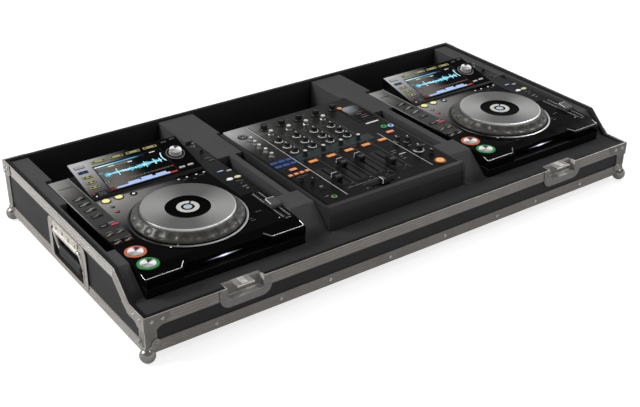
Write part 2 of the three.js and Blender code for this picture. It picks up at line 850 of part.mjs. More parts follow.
// A rod along a path in the (u, v) plane, with a ring of corners at each point of the path.
function rod_along(path, radius, sides) {
  const middles = [];
  for (const curve of path.curves) {
    const steps = curve.isLineCurve3 ? 1 : bend_steps;
    for (let i = 0; i < steps; i += 1) middles.push([curve.getPoint(i / steps), curve.getTangent(i / steps)]);
  }
  const last = path.curves[path.curves.length - 1];
  middles.push([last.getPoint(1), last.getTangent(1)]);
  const places = [];
  for (const [middle, tangent] of middles) {
    const across = axis(-tangent.y, tangent.x, 0);
    for (let k = 0; k < sides; k += 1) {
      const angle = ((k + 0.5) / sides) * Math.PI * 2;
      const place = middle.clone().addScaledVector(across, radius * Math.cos(angle));
      places.push(place.x, place.y, place.z + radius * Math.sin(angle));
    }
  }
  const faces = [];
  for (let i = 0; i + 1 < middles.length; i += 1) {
    for (let k = 0; k < sides; k += 1) {
      const next = (k + 1) % sides;
      const [a, b] = [i * sides + k, i * sides + next];
      faces.push(a, b, a + sides, b, b + sides, a + sides);
    }
  }
  const end = (middles.length - 1) * sides;
  for (let k = 1; k + 1 < sides; k += 1) {
    faces.push(0, k + 1, k, end, end + k, end + k + 1);
  }
  const geometry = new THREE.BufferGeometry();
  geometry.setAttribute("position", new THREE.Float32BufferAttribute(places, 3));
  geometry.setIndex(faces);
  return geometry;
}

function hang(geometry) {
  geometry.rotateX(bail_lean).translate(-handle_y, hinge_z, hinge_out);
  return on_face(geometry, left);
}

function handle_bail() {
  return hang(rod_along(bail_path(), rod_radius, rod_sides));
}

function handle_grip() {
  const half = grip_length / 2;
  const r = grip_tall / 2;
  const edge = grip_round * 0.3;
  const profile = [
    [0, -half],
    [r - grip_round, -half],
    [r - edge, -half + edge],
    [r, -half + grip_round],
    [r, half - grip_round],
    [r - edge, half - edge],
    [r - grip_round, half],
    [0, half],
  ];
  const body = turned(profile, rod_sides * 2).rotateY(Math.PI / 2);
  body.scale(1, 1, grip_thick / grip_tall);
  const bore = drum(rod_radius + clearance, -half - overrun, half + overrun, rod_sides);
  bore.rotateZ(Math.PI / rod_sides).rotateY(Math.PI / 2);
  return hang(cut(body, bore).translate(0, -bail_drop, 0));
}

// Media player, drawn with its origin under the middle of its front edge

const half_player = player_width / 2;
const pod_left = pod_inset_left - half_player;
const pod_right = half_player - pod_inset_right;
const pod_front = player_depth - pod_depth;
const jog_y = pod_front / 2;
const screen_left = pod_left + screen_inset;
const screen_right = pod_right - screen_inset;
const screen_front = pod_front + pod_lip;
const screen_rear = screen_front + screen_depth;
const big_button_x = big_button_inset - half_player;
const tempo_x = half_player - tempo_inset;
const selector_x = pod_right - selector_inset;
const selector_y = player_depth - selector_back;
const cover_bottom = player_height - cover_height;
const button_room = button_depth + button_travel + clearance;

function player_body() {
  const shell_z = [foot_height, cover_bottom - clearance];
  const shell = block([-half_player, half_player], [0, player_depth], shell_z);
  const feet = [];
  for (const x of [foot_inset - half_player, half_player - foot_inset]) {
    for (const y of [foot_inset, player_depth - foot_inset]) {
      feet.push(drum(foot_radius, 0, foot_height + overrun, knob_sides).translate(x, y, 0));
    }
  }
  return join(shell, ...feet);
}

// The cover's top face rises from the front to the rear of the display pod.
const pod_tilt = Math.atan2(pod_rise - pod_step, player_depth - pod_front);

function pod_height(y) {
  return player_height + pod_step + Math.tan(pod_tilt) * (y - pod_front);
}

function on_pod(geometry, x, y) {
  return geometry.rotateX(pod_tilt).translate(x, y, pod_height(y));
}

function pod_wedge() {
  const lip = pod_step / 2;
  const shape = outline([
    [pod_front - lip, player_height - overrun],
    [pod_front - lip, player_height + lip],
    [pod_front, pod_height(pod_front)],
    [player_depth - lip, pod_height(player_depth - lip)],
    [player_depth, pod_height(player_depth) - lip],
    [player_depth, player_height - overrun],
  ]);
  return lengthwise(shape, [pod_left, pod_right]);
}

function screen_window() {
  const run = (screen_rear - screen_front) / Math.cos(pod_tilt);
  const middle = (screen_front + screen_rear) / 2;
  const half = (screen_right - screen_left) / 2;
  const pane = block([-half, half], [-run / 2, run / 2], [-screen_recess, overrun]);
  return on_pod(pane, (screen_left + screen_right) / 2, middle);
}

// A flat key standing proud of a face at z = 0, its middle on the origin.
function flat_key(width, length, rise) {
  return block([-width / 2, width / 2], [-length / 2, length / 2], [-rise, rise]);
}

// Places on the cover are shares of the player's width, from its middle, and of its depth.
const lever_shares = [-0.422, [0.783, 0.718, 0.653, 0.588]];
const key_shares = [
  [-0.44, [0.494, 0.4, 0.32]],
  [-0.38, [0.485, 0.4, 0.32]],
  [0.425, [0.645, 0.55, 0.44]],
  [0.478, [0.6, 0.5]],
];
const round_key_shares = [[-0.307, 0.69], [-0.222, 0.69]];
const dot_shares = [
  [-0.126, 0.688],
  [-0.309, 0.624],
  [-0.309, 0.572],
  [0.46, 0.79],
  [0.168, 0.688],
  [0.225, 0.688],
  [0.29, 0.688],
  [0.344, 0.688],
];
const trim_shares = [[0.46, 0.965], [0.46, 0.88]];

function on_cover(geometry, [x_share, y_share]) {
  return geometry.translate(x_share * player_width, y_share * player_depth, player_height);
}

function cover_keys() {
  const keys = [];
  const column = ([x_share, y_shares], width, length, rise) => {
    for (const y_share of y_shares) keys.push(on_cover(flat_key(width, length, rise), [x_share, y_share]));
  };
  column(lever_shares, lever_width, lever_length, lever_rise);
  for (const shares of key_shares) column(shares, key_width, key_length, key_rise);
  const round = (place, radius, rise) => keys.push(on_cover(drum(radius, -rise, rise, knob_sides), place));
  for (const place of round_key_shares) round(place, round_key_radius, round_key_rise);
  for (const place of dot_shares) round(place, dot_radius, round_key_rise);
  for (const place of trim_shares) round(place, trim_radius, trim_rise);
  return keys;
}

// Flat keys round the screen, as shares of the pod's width, from its left, and of the depth.
const rear_key_shares = [[0.255, 0.405, 0.565, 0.725], 0.963];
const side_key_shares = [0.078, [0.957, 0.915, 0.872, 0.83, 0.79]];

function pod_keys() {
  const pod_width = pod_right - pod_left;
  const keys = rear_key_shares[0].map((share) => {
    const key = flat_key(rear_key_width, key_length, key_rise);
    return on_pod(key, pod_left + share * pod_width, rear_key_shares[1] * player_depth);
  });
  const x = pod_left + side_key_shares[0] * pod_width;
  for (const share of side_key_shares[1]) {
    keys.push(on_pod(flat_key(side_key_width, key_length, key_rise), x, share * player_depth));
  }
  return keys;
}

function tempo_slot() {
  const half_x = (stem_width + 2 * clearance) / 2;
  const half_y = (tempo_travel + stem_length) / 2 + clearance;
  const floor = player_height - stem_depth - clearance - cap_lift;
  const slot = block([-half_x, half_x], [-half_y, half_y], [floor, player_height + overrun]);
  return slot.translate(tempo_x, tempo_y, 0);
}

function collar(x, y, radius) {
  const top = player_height + collar_height;
  const root = player_height - front_slope_fall;
  const points = [[0, root], [collar_radius, root]];
  const rim = [[collar_radius, player_height + collar_height / 3], [radius + 2 * clearance, top]];
  return turned([...points, ...rim, [0, top]], round_sides).translate(x, y, 0);
}

function button_bore(x, y, radius, surface_z) {
  const bore = drum(radius + clearance, surface_z - button_room, surface_z + overrun, round_sides);
  return bore.translate(x, y, 0);
}

function player_cover() {
  const slab_z = [cover_bottom, player_height];
  const slab = block([-half_player, half_player], [0, player_depth], slab_z);
  const slope = lengthwise(
    outline([
      [-overrun, player_height - front_slope_fall],
      [0, player_height - front_slope_fall],
      [front_slope_run, player_height],
      [front_slope_run, player_height + overrun],
      [-overrun, player_height + overrun],
    ]),
    [-half_player - overrun, half_player + overrun],
  );
  const wide = half_player * recess_share;
  const narrow = wide - recess_flare;
  const recess_shape = outline([
    [-wide, -overrun],
    [wide, -overrun],
    [wide, 0],
    [narrow, recess_depth],
    [-narrow, recess_depth],
    [-wide, 0],
  ]);
  const recess = raised(recess_shape, cover_bottom - overrun, player_height + overrun);
  const seat_radius = jog_radius * 0.9;
  const seat = drum(seat_radius, player_height - overrun, player_height + jog_seat, round_sides);
  const ring_inner = jog_radius + jog_gap;
  const ring_outer = ring_inner + jog_ring_width;
  const ring_shape = new THREE.Shape();
  ring_shape.absarc(0, 0, ring_outer, 0, Math.PI * 2, false);
  const ring_hole = new THREE.Path();
  ring_hole.absarc(0, 0, ring_inner, 0, Math.PI * 2, true);
  ring_shape.holes.push(ring_hole);
  const ring = raised(ring_shape, player_height - overrun, player_height + jog_seat, round_sides / 2);
  const spindle_top = player_height + jog_seat + spindle_height;
  const spindle = drum(spindle_radius, player_height - overrun, spindle_top, round_sides);
  for (const piece of [seat, ring, spindle]) piece.translate(0, jog_y, 0);
  const collars = [cue_y, play_y].map((y) => collar(big_button_x, y, big_button_radius));
  const keys = [...cover_keys(), ...pod_keys()];
  const body = join(cut(slab, slope, recess), pod_wedge(), seat, ring, spindle, ...collars, ...keys);
  const bores = [cue_y, play_y].map((y) =>
    button_bore(big_button_x, y, big_button_radius, player_height),
  );
  const stub = drum(knob_stub_radius + clearance, -stem_depth - clearance, overrun, knob_sides);
  const selector_bore = on_pod(stub, selector_x, selector_y);
  return cut(body, screen_window(), tempo_slot(), selector_bore, ...bores);
}

// The jog wheel: a lathe profile whose outer slope is pressed in to finger dimples.
function jog_wheel() {
  const bottom = jog_seat + clearance;
  const skirt = bottom + jog_skirt;
  const bore = spindle_radius + clearance;
  const bore_top = jog_seat + spindle_height + clearance;
  const band = [jog_radius * 0.96, skirt + jog_band_rise];
  const step = [jog_top_radius + jog_step, jog_height * 0.83];
  const display_z = jog_height - jog_dish - jog_lip_fall;
  const profile = [
    [bore, bottom],
    [jog_radius, bottom],
    [jog_radius, skirt],
    band,
    step,
    [jog_top_radius, jog_height - jog_lip_fall],
    [jog_top_radius - jog_lip, jog_height],
    [jog_display_radius + jog_lip_fall, jog_height - jog_dish],
    [jog_display_radius, display_z],
    [0, display_z],
    [0, bore_top],
    [bore, bore_top],
    [bore, bottom],
  ];
  const wheel = turned(profile, jog_dimples * 2);
  const place = wheel.attributes.position;
  const radii = [jog_radius, band[0], step[0]];
  for (let i = 0; i < place.count; i += 1) {
    const [x, y] = [place.getX(i), place.getY(i)];
    const radius = Math.hypot(x, y);
    const ring = radii.findIndex((value) => Math.abs(value - radius) < clearance);
    const turn = Math.round((Math.atan2(y, x) / Math.PI) * jog_dimples);
    if (ring < 0 || Math.abs(turn) % 2 === 0) continue;
    const drawn = (radius - dimple_depth * dimple_shares[ring]) / radius;
    place.setXY(i, x * drawn, y * drawn);
  }
  return wheel;
}

function push_button(radius, rise) {
  const dish = rise * 0.12;
  const points = [
    [0, -button_depth],
    [radius, -button_depth],
    [radius, rise - dish * 3],
    [radius * 0.9, rise],
    [radius * 0.45, rise - dish],
    [0, rise - dish],
  ];
  return turned(points, round_sides / 2);
}

// A fader cap with its stem, drawn over the middle of its slot and sliding along Y.
function fader_cap(width, length, height) {
  const waist = length * 0.14;
  const shape = outline([
    [-length / 2, cap_lift],
    [length / 2, cap_lift],
    [length / 2, height * 0.35],
    [waist * 1.6, height],
    [waist, height],
    [0, height * 0.86],
    [-waist, height],
    [-waist * 1.6, height],
    [-length / 2, height * 0.35],
  ]);
  const cap = lengthwise(shape, [-width / 2, width / 2]);
  const half = stem_width / 2;
  const stem = block([-half, half], [-stem_length / 2, stem_length / 2], [-stem_depth, height / 3]);
  return join(cap, stem);
}

function knob(radius, height, bottom) {
  const points = [
    [0, bottom],
    [radius, bottom],
    [radius * 0.78, height * 0.35],
    [radius * 0.66, height],
    [0, height],
  ];
  return turned(points, knob_sides);
}

function selector_knob() {
  const head = knob(selector_radius, selector_height, clearance);
  const stub = drum(knob_stub_radius, -stem_depth, selector_height / 2, knob_sides);
  return join(head, stub);
}

function level_knob() {
  const head = knob(knob_radius * 1.15, knob_height, clearance);
  const stub = drum(knob_stub_radius, -mixer_panel, knob_height / 2, knob_sides);
  return join(head, stub);
}

// Mixer, drawn with its origin under the middle of its front edge

const panel_z = mixer_height - mixer_panel;
const effect_button_x = half_mixer - effect_button_inset;
const level_knob_x = half_mixer - level_knob_inset;

function mixer_side(grow) {
  const rise = mixer_height - fascia_groove_z;
  return outline([
    [-grow, foot_height - grow],
    [-grow, fascia_groove_z],
    [fascia_groove - grow, fascia_groove_z + fascia_groove],
    [-grow, fascia_groove_z + fascia_groove * 2],
    [fascia_run * 0.1 - grow, fascia_groove_z + rise * 0.6],
    [fascia_run * 0.4, fascia_groove_z + rise * 0.9 + grow],
    [fascia_run, mixer_height + grow / 2],
    [fascia_run, panel_z - clearance],
    [mixer_depth, panel_z - clearance],
    [mixer_depth, foot_height - grow],
  ]);
}

function mixer_chassis() {
  const half = half_mixer;
  const body = lengthwise(mixer_side(0), [-half + cheek_width / 2, half - cheek_width / 2]);
  const cheeks = [-1, 1].map((side) => {
    const x = side < 0 ? [-half, -half + cheek_width] : [half - cheek_width, half];
    return lengthwise(mixer_side(cheek_proud), x);
  });
  const screws = [-1, 1].map((side) => {
    const head = rivet(side * (half - cheek_width / 2), fascia_groove_z * 0.83);
    return head.rotateX(Math.PI / 2).translate(0, -cheek_proud, 0);
  });
  const feet = [];
  for (const x of [-half + foot_inset, half - foot_inset]) {
    for (const y of [foot_inset, mixer_depth - foot_inset]) {
      feet.push(drum(foot_radius, 0, foot_height + overrun, knob_sides).translate(x, y, 0));
    }
  }
  const well_y = [fascia_run + well_front, fascia_run + well_rear];
  const well = block([-well_half, well_half], well_y, [panel_z - well_depth, mixer_height + overrun]);
  const front_well = block(
    [channels_x - crossfader_travel, channels_x + crossfader_travel],
    [fascia_run + clearance * 2, well_y[0] + overrun],
    [panel_z - well_depth, mixer_height],
  );
  const bore = button_bore(effect_button_x, effect_button_y, effect_button_radius, mixer_height);
  return cut(join(body, ...cheeks, ...screws, ...feet), well, front_well, bore);
}

function channel_x(i) {
  return channels_x + (i - (channel_count - 1) / 2) * channel_pitch;
}

// Knob rows of every channel strip, as [share of the mixer's depth, share of the knob's radius].
const channel_knob_shares = [
  [0.861, 0.7],
  [0.814, 0.7],
  [0.732, 0.9],
  [0.655, 0.9],
  [0.585, 0.9],
];
const colour_knob_share = 0.523;
const cue_key_share = 0.448;

// Knobs beside the channels, as shares of the width, from the middle, of the depth and the radius.
const side_knob_shares = [
  [-0.409, 0.817, 0.65],
  [-0.409, 0.773, 0.65],
  [-0.409, 0.673, 0.65],
  [-0.409, 0.608, 0.65],
  [-0.394, 0.191, 0.5],
  [0.402, 0.363, 0.8],
  [0.35, 0.394, 0.8],
  [0.417, 0.18, 0.6],
];

// Flat keys beside the channels, as [x, y, width, length] shares of the mixer's width and depth.
const side_key_places_shares = [
  [-0.447, 0.544, 0.036, 0.015],
  [-0.396, 0.544, 0.036, 0.015],
  [-0.345, 0.544, 0.036, 0.015],
  [-0.447, 0.513, 0.036, 0.015],
  [-0.396, 0.513, 0.036, 0.015],
  [-0.345, 0.513, 0.036, 0.015],
  [-0.396, 0.433, 0.048, 0.018],
  [-0.459, 0.384, 0.024, 0.015],
  [-0.418, 0.384, 0.024, 0.015],
  [-0.378, 0.384, 0.024, 0.015],
  [-0.337, 0.384, 0.024, 0.015],
  [0.393, 0.655, 0.1, 0.008],
  [0.396, 0.5, 0.054, 0.023],
  [0.411, 0.572, 0.036, 0.023],
  [0.456, 0.562, 0.027, 0.023],
];

function panel_knobs() {
  const knobs = [];
  const place = (x, y_share, radius_share) => {
    const body = knob(knob_radius * radius_share, knob_height, -mixer_panel / 2);
    knobs.push(body.translate(x, y_share * mixer_depth, mixer_height));
  };
  for (let i = 0; i < channel_count; i += 1) {
    for (const [y_share, radius_share] of channel_knob_shares) place(channel_x(i), y_share, radius_share);
    place(channel_x(i) + cue_shift, colour_knob_share, channel_knob_shares[0][1]);
  }
  for (const [x_share, y_share, radius_share] of side_knob_shares) {
    place(x_share * mixer_width, y_share, radius_share);
  }
  return knobs;
}

function panel_keys() {
  const keys = [];
  for (let i = 0; i <= channel_count; i += 1) {
    const key = flat_key(cue_key_width, cue_key_length, key_rise);
    keys.push(key.translate(channel_x(i) + cue_shift, cue_key_share * mixer_depth, mixer_height));
  }
  for (const [x_share, y_share, width_share, length_share] of side_key_places_shares) {
    const key = flat_key(width_share * mixer_width, length_share * mixer_depth, key_rise);
    keys.push(key.translate(x_share * mixer_width, y_share * mixer_depth, mixer_height));
  }
  return keys;
}

function slot_through(x, y, half_x, half_y) {
  const z = [panel_z - overrun, mixer_height + overrun];
  return block([x - half_x, x + half_x], [y - half_y, y + half_y], z);
}

function mixer_top() {
  const half = half_mixer - cheek_width - clearance;
  const y = [fascia_run + clearance, mixer_depth];
  const plate = block([-half, half], y, [panel_z, mixer_height]);
  const narrow = stem_width / 2 + clearance;
  const long = (travel) => (travel + stem_length) / 2 + clearance;
  const slots = [];
  for (let i = 0; i < channel_count; i += 1) {
    slots.push(slot_through(channel_x(i), fader_y, narrow, long(fader_travel)));
  }
  slots.push(slot_through(channels_x, crossfader_y, long(crossfader_travel), narrow));
  const hole = (x, along, radius) =>
    drum(radius + clearance, panel_z - overrun, mixer_height + overrun, round_sides).translate(x, along, 0);
  slots.push(hole(effect_button_x, effect_button_y, effect_button_radius));
  slots.push(hole(level_knob_x, level_knob_y, knob_stub_radius));
  return cut(join(plate, ...panel_knobs(), ...panel_keys()), ...slots);
}

// Assembly

const coffin_case = new THREE.Group();

function add(group, name, geometry, material, place = [0, 0, 0]) {
  const mesh = new THREE.Mesh(merged(geometry), material);
  mesh.geometry.computeVertexNormals();
  mesh.name = name;
  mesh.position.set(...place);
  group.add(mesh);
  return mesh;
}

// Adds a piece of the left side and its mirror image on the right.
function add_pair(name, geometry, material) {
  add(coffin_case, `left_${name}`, geometry, material);
  add(coffin_case, `right_${name}`, mirrored(geometry), material);
}

function add_case() {
  const put = (name, geometry, material) => add(coffin_case, name, geometry, material);
  put("base_panel", base_panel(), laminate);
  put("front_panel", front_panel(), laminate);
  put("rear_panel", rear_panel(), laminate);
  add_pair("side_panel", side_panel(), laminate);
  put("front_bottom_profile", bottom_profile(front, half_width, front_rivets()), aluminium);
  put("rear_bottom_profile", bottom_profile(rear, half_width, front_rivets()), aluminium);
  add_pair("bottom_profile", side_bottom_profile(), aluminium);
  const notch = pocket_width / 2 + sheet_thickness + clearance;
  const outer = [-half_width, -latch_x - notch];
  const outer_rim = end_rim(front, outer, front_rim);
  put("front_rim_left", outer_rim, aluminium);
  put("front_rim_middle", end_rim(front, [-latch_x + notch, latch_x - notch], front_rim), aluminium);
  put("front_rim_right", mirrored(outer_rim), aluminium);
  put("rear_rim", end_rim(rear, [-half_width, half_width], rear_rim), aluminium);
  add_pair("side_rim", side_rim(), aluminium);
  add_pair("front_corner_post", front_post(), aluminium);
  add_pair("rear_corner_post", rear_post(), aluminium);
  add_pair("front_ball_corner", ball_corner(), steel);
  add_pair("rear_ball_corner", mirrored(ball_corner(), 1, -1), steel);
  add_pair("latch_dish", latch_dish().translate(-latch_x, 0, 0), steel);
  add_pair("handle_dish", handle_dish(), steel);
  add_pair("handle_bail", handle_bail(), chrome);
  add_pair("handle_grip", handle_grip(), rubber);
  put("well_floor", floor_slab(), foam);
  put("front_ledge", ledge_block(), foam);
  add_pair("side_foam", side_block(), foam);
  put("left_divider", divider(left_slots), foam);
  put("right_divider", mirrored(divider(right_slots)), foam);
}

function add_player(name, x) {
  const player = new THREE.Group();
  player.position.set(x, player_front, device_z);
  const put = (piece, geometry, material, place) =>
    add(player, `${name}_player_${piece}`, geometry, material, place);
  put("body", player_body(), player_black);
  put("cover", player_cover(), player_black);
  put("jog_wheel", jog_wheel(), player_silver, [0, jog_y, player_height]);
  const big_button = push_button(big_button_radius, big_button_rise);
  put("cue_button", big_button, chrome, [big_button_x, cue_y, player_height]);
  put("play_button", big_button, chrome, [big_button_x, play_y, player_height]);
  const cap = fader_cap(tempo_cap_width, tempo_cap_length, tempo_cap_height);
  put("tempo_slider", cap, cap_black, [tempo_x, tempo_y + tempo_rest, player_height]);
  const place = [selector_x, selector_y, pod_height(selector_y)];
  const selector = put("selector", selector_knob(), chrome, place);
  selector.rotation.x = pod_tilt;
  coffin_case.add(player);
}

function add_mixer() {
  const mixer = new THREE.Group();
  mixer.position.set(0, player_front + mixer_setback + well_play, device_z);
  const put = (piece, geometry, material, place) => add(mixer, `mixer_${piece}`, geometry, material, place);
  put("chassis", mixer_chassis(), mixer_black);
  put("panel", mixer_top(), mixer_black);
  const cap = fader_cap(fader_cap_width, fader_cap_length, fader_cap_height);
  const rest_shares = [-0.28, 0.45, 0.45, -0.28];
  rest_shares.forEach((share, i) => {
    const place = [channel_x(i), fader_y + share * fader_travel, mixer_height];
    put(`channel_fader_${i + 1}`, cap, cap_black, place);
  });
  const across = cap.clone().rotateZ(Math.PI / 2);
  put("crossfader", across, cap_black, [channels_x + crossfader_rest, crossfader_y, mixer_height]);
  const button = push_button(effect_button_radius, effect_button_rise);
  put("effect_button", button, orange, [effect_button_x, effect_button_y, mixer_height]);
  put("level_knob", level_knob(), cap_black, [level_knob_x, level_knob_y, mixer_height]);
  coffin_case.add(mixer);
}

add_case();
add_player("left", -player_x);
add_player("right", player_x);
add_mixer();

export default coffin_case;
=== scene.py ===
"""Looks of a loaded coffin case for a disc jockey's table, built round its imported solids.

Lengths in the tables and helpers are millimetres in the frame of the case: X to the right, Y to the
rear, Z up, with the floor at Z = 0. Device pieces are drawn from the middle of the device's front edge.
"""
import json
import math

import bmesh
import bpy
from mathutils import Matrix, Vector
from mathutils.geometry import tessellate_polygon

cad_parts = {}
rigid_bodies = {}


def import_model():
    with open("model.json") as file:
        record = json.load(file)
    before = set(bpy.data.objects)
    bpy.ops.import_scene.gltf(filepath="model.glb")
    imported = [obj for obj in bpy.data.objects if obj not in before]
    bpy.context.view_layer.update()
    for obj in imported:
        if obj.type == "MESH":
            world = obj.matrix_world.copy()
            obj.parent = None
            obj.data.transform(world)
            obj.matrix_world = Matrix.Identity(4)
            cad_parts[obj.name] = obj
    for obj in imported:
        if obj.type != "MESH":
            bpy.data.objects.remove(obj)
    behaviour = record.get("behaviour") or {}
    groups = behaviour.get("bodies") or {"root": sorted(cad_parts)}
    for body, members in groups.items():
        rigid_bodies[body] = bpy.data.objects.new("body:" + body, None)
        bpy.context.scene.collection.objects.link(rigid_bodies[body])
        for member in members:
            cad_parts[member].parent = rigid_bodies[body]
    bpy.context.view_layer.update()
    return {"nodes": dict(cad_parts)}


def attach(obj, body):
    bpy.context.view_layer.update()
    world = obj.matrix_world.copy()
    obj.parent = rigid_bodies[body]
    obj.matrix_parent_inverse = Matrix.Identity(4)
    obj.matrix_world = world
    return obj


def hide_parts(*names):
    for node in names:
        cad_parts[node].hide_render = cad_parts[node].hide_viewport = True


for leftover in list(bpy.data.objects):
    bpy.data.objects.remove(leftover)
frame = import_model()

MM = 0.001
SIDES = {"left": -1, "right": 1}
BLACK = (0.0, 0.0, 0.0, 1.0)
ALONG_X = Matrix(((0, 0, 1, 0), (1, 0, 0, 0), (0, 1, 0, 0), (0, 0, 0, 1)))

# Case
HALF_WIDTH = 578.7
HALF_DEPTH = 294.4
CASE_Z = 16.0
FRONT_RIM = 88.5
REAR_RIM = 132.5
LEG = 22.0
PLATE_OUT = 0.3
SHEET = 1.2
RIVET_RADIUS = 3.9

# Devices
PLAYER_X = 384.5
PLAYER_FRONT = -242.1
MIXER_FRONT = -234.3
DEVICE_Z = 52.0
PLAYER_HALF = 160.0
PLAYER_DEPTH = 399.0
COVER_Z = 75.0
COVER_BOTTOM = 51.0
JOG_Y = 141.5
MIXER_DEPTH = 388.0
MIXER_TOP = 81.5
CHANNELS = (-88.0, -44.0, 0.0, 44.0)


# Bodies: small meshes in millimetres

def box(x, y, z, bevel=0.0, segments=2):
    """A box between two places along each axis, with its edges rounded by the bevel."""
    body = bmesh.new()
    bmesh.ops.create_cube(body, size=1.0)
    spans = (x, y, z)
    for vert in body.verts:
        vert.co = Vector([low + (high - low) * (at + 0.5) for (low, high), at in zip(spans, vert.co)])
    if bevel:
        round_edges(body, body.edges[:], bevel, segments)
    return body


def round_edges(body, edges, width, segments):
    """Rounds the given edges of a body, narrower where they have no room."""
    bmesh.ops.bevel(body, geom=edges, offset=width, segments=segments, profile=0.5,
                    affect="EDGES", clamp_overlap=True)


def arc(middle, radius, start, end, steps):
    """Points of an arc between two angles in degrees."""
    turns = [math.radians(start + (end - start) * step / steps) for step in range(steps + 1)]
    return [(middle[0] + radius * math.cos(a), middle[1] + radius * math.sin(a)) for a in turns]


def circle(radius, middle=(0.0, 0.0), steps=32):
    """Points round a full circle."""
    return arc(middle, radius, 0, 360, steps)[:-1]


def rounded(width, height, radius, middle=(0.0, 0.0), steps=6):
    """Outline of a rectangle with round corners."""
    points = []
    for turn, (sx, sy) in enumerate(((1, 1), (-1, 1), (-1, -1), (1, -1))):
        corner = (middle[0] + sx * (width / 2 - radius), middle[1] + sy * (height / 2 - radius))
        points += arc(corner, radius, 90 * turn, 90 * turn + 90, steps)
    return points


def bow(first, knee, last, steps):
    """Points of a curve from one place to another, drawn towards a knee between them."""
    shares = [step / steps for step in range(steps + 1)]
    return [first * (1 - t) ** 2 + knee * 2 * t * (1 - t) + last * t * t for t in shares]


def bend_path(corners, radius, steps=8):
    """A path through corner points, each inner corner rounded by a curve."""
    path = [Vector(corners[0])]
    for before, knee, after in zip(corners, corners[1:], corners[2:]):
        knee = Vector(knee)
        first = knee + (Vector(before) - knee).normalized() * radius
        last = knee + (Vector(after) - knee).normalized() * radius
        path += bow(first, knee, last, steps)
    path.append(Vector(corners[-1]))
    return path


def walls(body, low, high):
    """Joins two loops of corners with a four-sided face for each step."""
    for i, corner in enumerate(low):
        after = (i + 1) % len(low)
        body.faces.new((corner, low[after], high[after], high[i]))


def outward(body):
    """Turns every face of the body outwards."""
    bmesh.ops.recalc_face_normals(body, faces=body.faces[:])
    return body


def lathe(points, steps=32):
    """Turns a profile of (radius, height) points about Z. A point with radius 0 closes an end."""
    body = bmesh.new()
    rings = []
    for radius, height in points:
        spots = circle(radius, steps=steps) if radius else [(0.0, 0.0)]
        rings.append([body.verts.new((x, y, height)) for x, y in spots])
    for lower, upper in zip(rings, rings[1:]):
        for step in range(steps):
            after = (step + 1) % steps
            around = [lower[step % len(lower)], lower[after % len(lower)],
                      upper[after % len(upper)], upper[step % len(upper)]]
            corners = list(dict.fromkeys(around))
            if len(corners) > 2:
                body.faces.new(corners)
    return outward(body)


def hoop(points, steps):
    """Turns a closed profile about Z."""
    return lathe([*points, points[0]], steps)


def disc(radius, bottom, top, steps):
    """A plain round disc or stub."""
    return lathe([(0, bottom), (radius, bottom), (radius, top), (0, top)], steps)


def prism(outline, bottom, top, bevel=0.0, segments=2):
    """A closed outline of (x, y) points between two heights, its two rims rounded by the bevel."""
    body = bmesh.new()
    low = [body.verts.new((x, y, bottom)) for x, y in outline]
    high = [body.verts.new((x, y, top)) for x, y in outline]
    body.faces.new(low)
    body.faces.new(high)
    walls(body, low, high)
    outward(body)
    if bevel:
        rims = [e for e in body.edges if abs(e.verts[0].co.z - e.verts[1].co.z) < bevel / 10]
        round_edges(body, rims, bevel, segments)
    return body


def profile_along_x(outline, x):
    """A closed outline of (y, z) points between two places along X."""
    body = prism(outline, x[0], x[1])
    body.transform(ALONG_X)
    return body


def plate(outer, holes, bottom, top):
    """A flat plate with holes through it."""
    body = bmesh.new()
    loops = [outer, *holes]
    low, high = [], []
    for loop in loops:
        below = [body.verts.new((x, y, bottom)) for x, y in loop]
        above = [body.verts.new((x, y, top)) for x, y in loop]
        walls(body, below, above)
        low.extend(below)
        high.extend(above)
    flat = [[Vector((x, y, 0)) for x, y in loop] for loop in loops]
    for triangle in tessellate_polygon(flat):
        for level in (low, high):
            body.faces.new([level[i] for i in triangle])
    return outward(body)


def arc_band(inner, outer, start, end, bottom, top, steps=24):
    """Part of a flat ring between two angles in degrees."""
    middle = (0.0, 0.0)
    outline = arc(middle, outer, start, end, steps) + arc(middle, inner, end, start, steps)
    return prism(outline, bottom, top)


def tube(points, radius, sides=16):
    """A round rod along a path of points, closed by flat ends."""
    body = bmesh.new()
    path = [Vector(p) for p in points]
    rings = []
    across = None
    for i, place in enumerate(path):
        ahead = path[min(i + 1, len(path) - 1)] - path[max(i - 1, 0)]
        ahead.normalize()
        if across is None:
            across = ahead.orthogonal()
        across = (across - ahead * across.dot(ahead)).normalized()
        other = ahead.cross(across)
        rings.append([body.verts.new(place + across * x + other * y) for x, y in circle(radius, steps=sides)])
    for first, second in zip(rings, rings[1:]):
        walls(body, first, second)
    body.faces.new(rings[0])
    body.faces.new(rings[-1])
    return outward(body)


def as_mesh(body, name="scratch"):
    """A mesh with the faces of a body."""
    mesh = bpy.data.meshes.new(name)
    body.to_mesh(mesh)
    body.free()
    return mesh


def new_object(name, data):
    """An object that is linked to the scene."""
    thing = bpy.data.objects.new(name, data)
    bpy.context.scene.collection.objects.link(thing)
    return thing


def drop_object(thing):
    """Takes an object and its mesh away again."""
    mesh = thing.data
    bpy.data.objects.remove(thing)
    bpy.data.meshes.remove(mesh)


def with_modifier(body, kind, **settings):
    """The body after one modifier."""
    holder = new_object("scratch", as_mesh(body))
    modifier = holder.modifiers.new(kind, kind)
    for setting, value in settings.items():
        setattr(modifier, setting, value)
    result = bmesh.new()
    result.from_object(holder, bpy.context.evaluated_depsgraph_get())
    drop_object(holder)
    return result


def combine(operation, first, *others):
    """One body after a boolean operation with each of the others in turn."""
    for other in others:
        tool = new_object("tool", as_mesh(other))
        first = with_modifier(first, "BOOLEAN", operation=operation, object=tool, solver="EXACT")
        drop_object(tool)
    return first


def cut(first, *tools):
    """The first body without what the tools cover."""
    return combine("DIFFERENCE", first, *tools)


def join(first, *others):
    """One body of the first and the others."""
    return combine("UNION", first, *others)


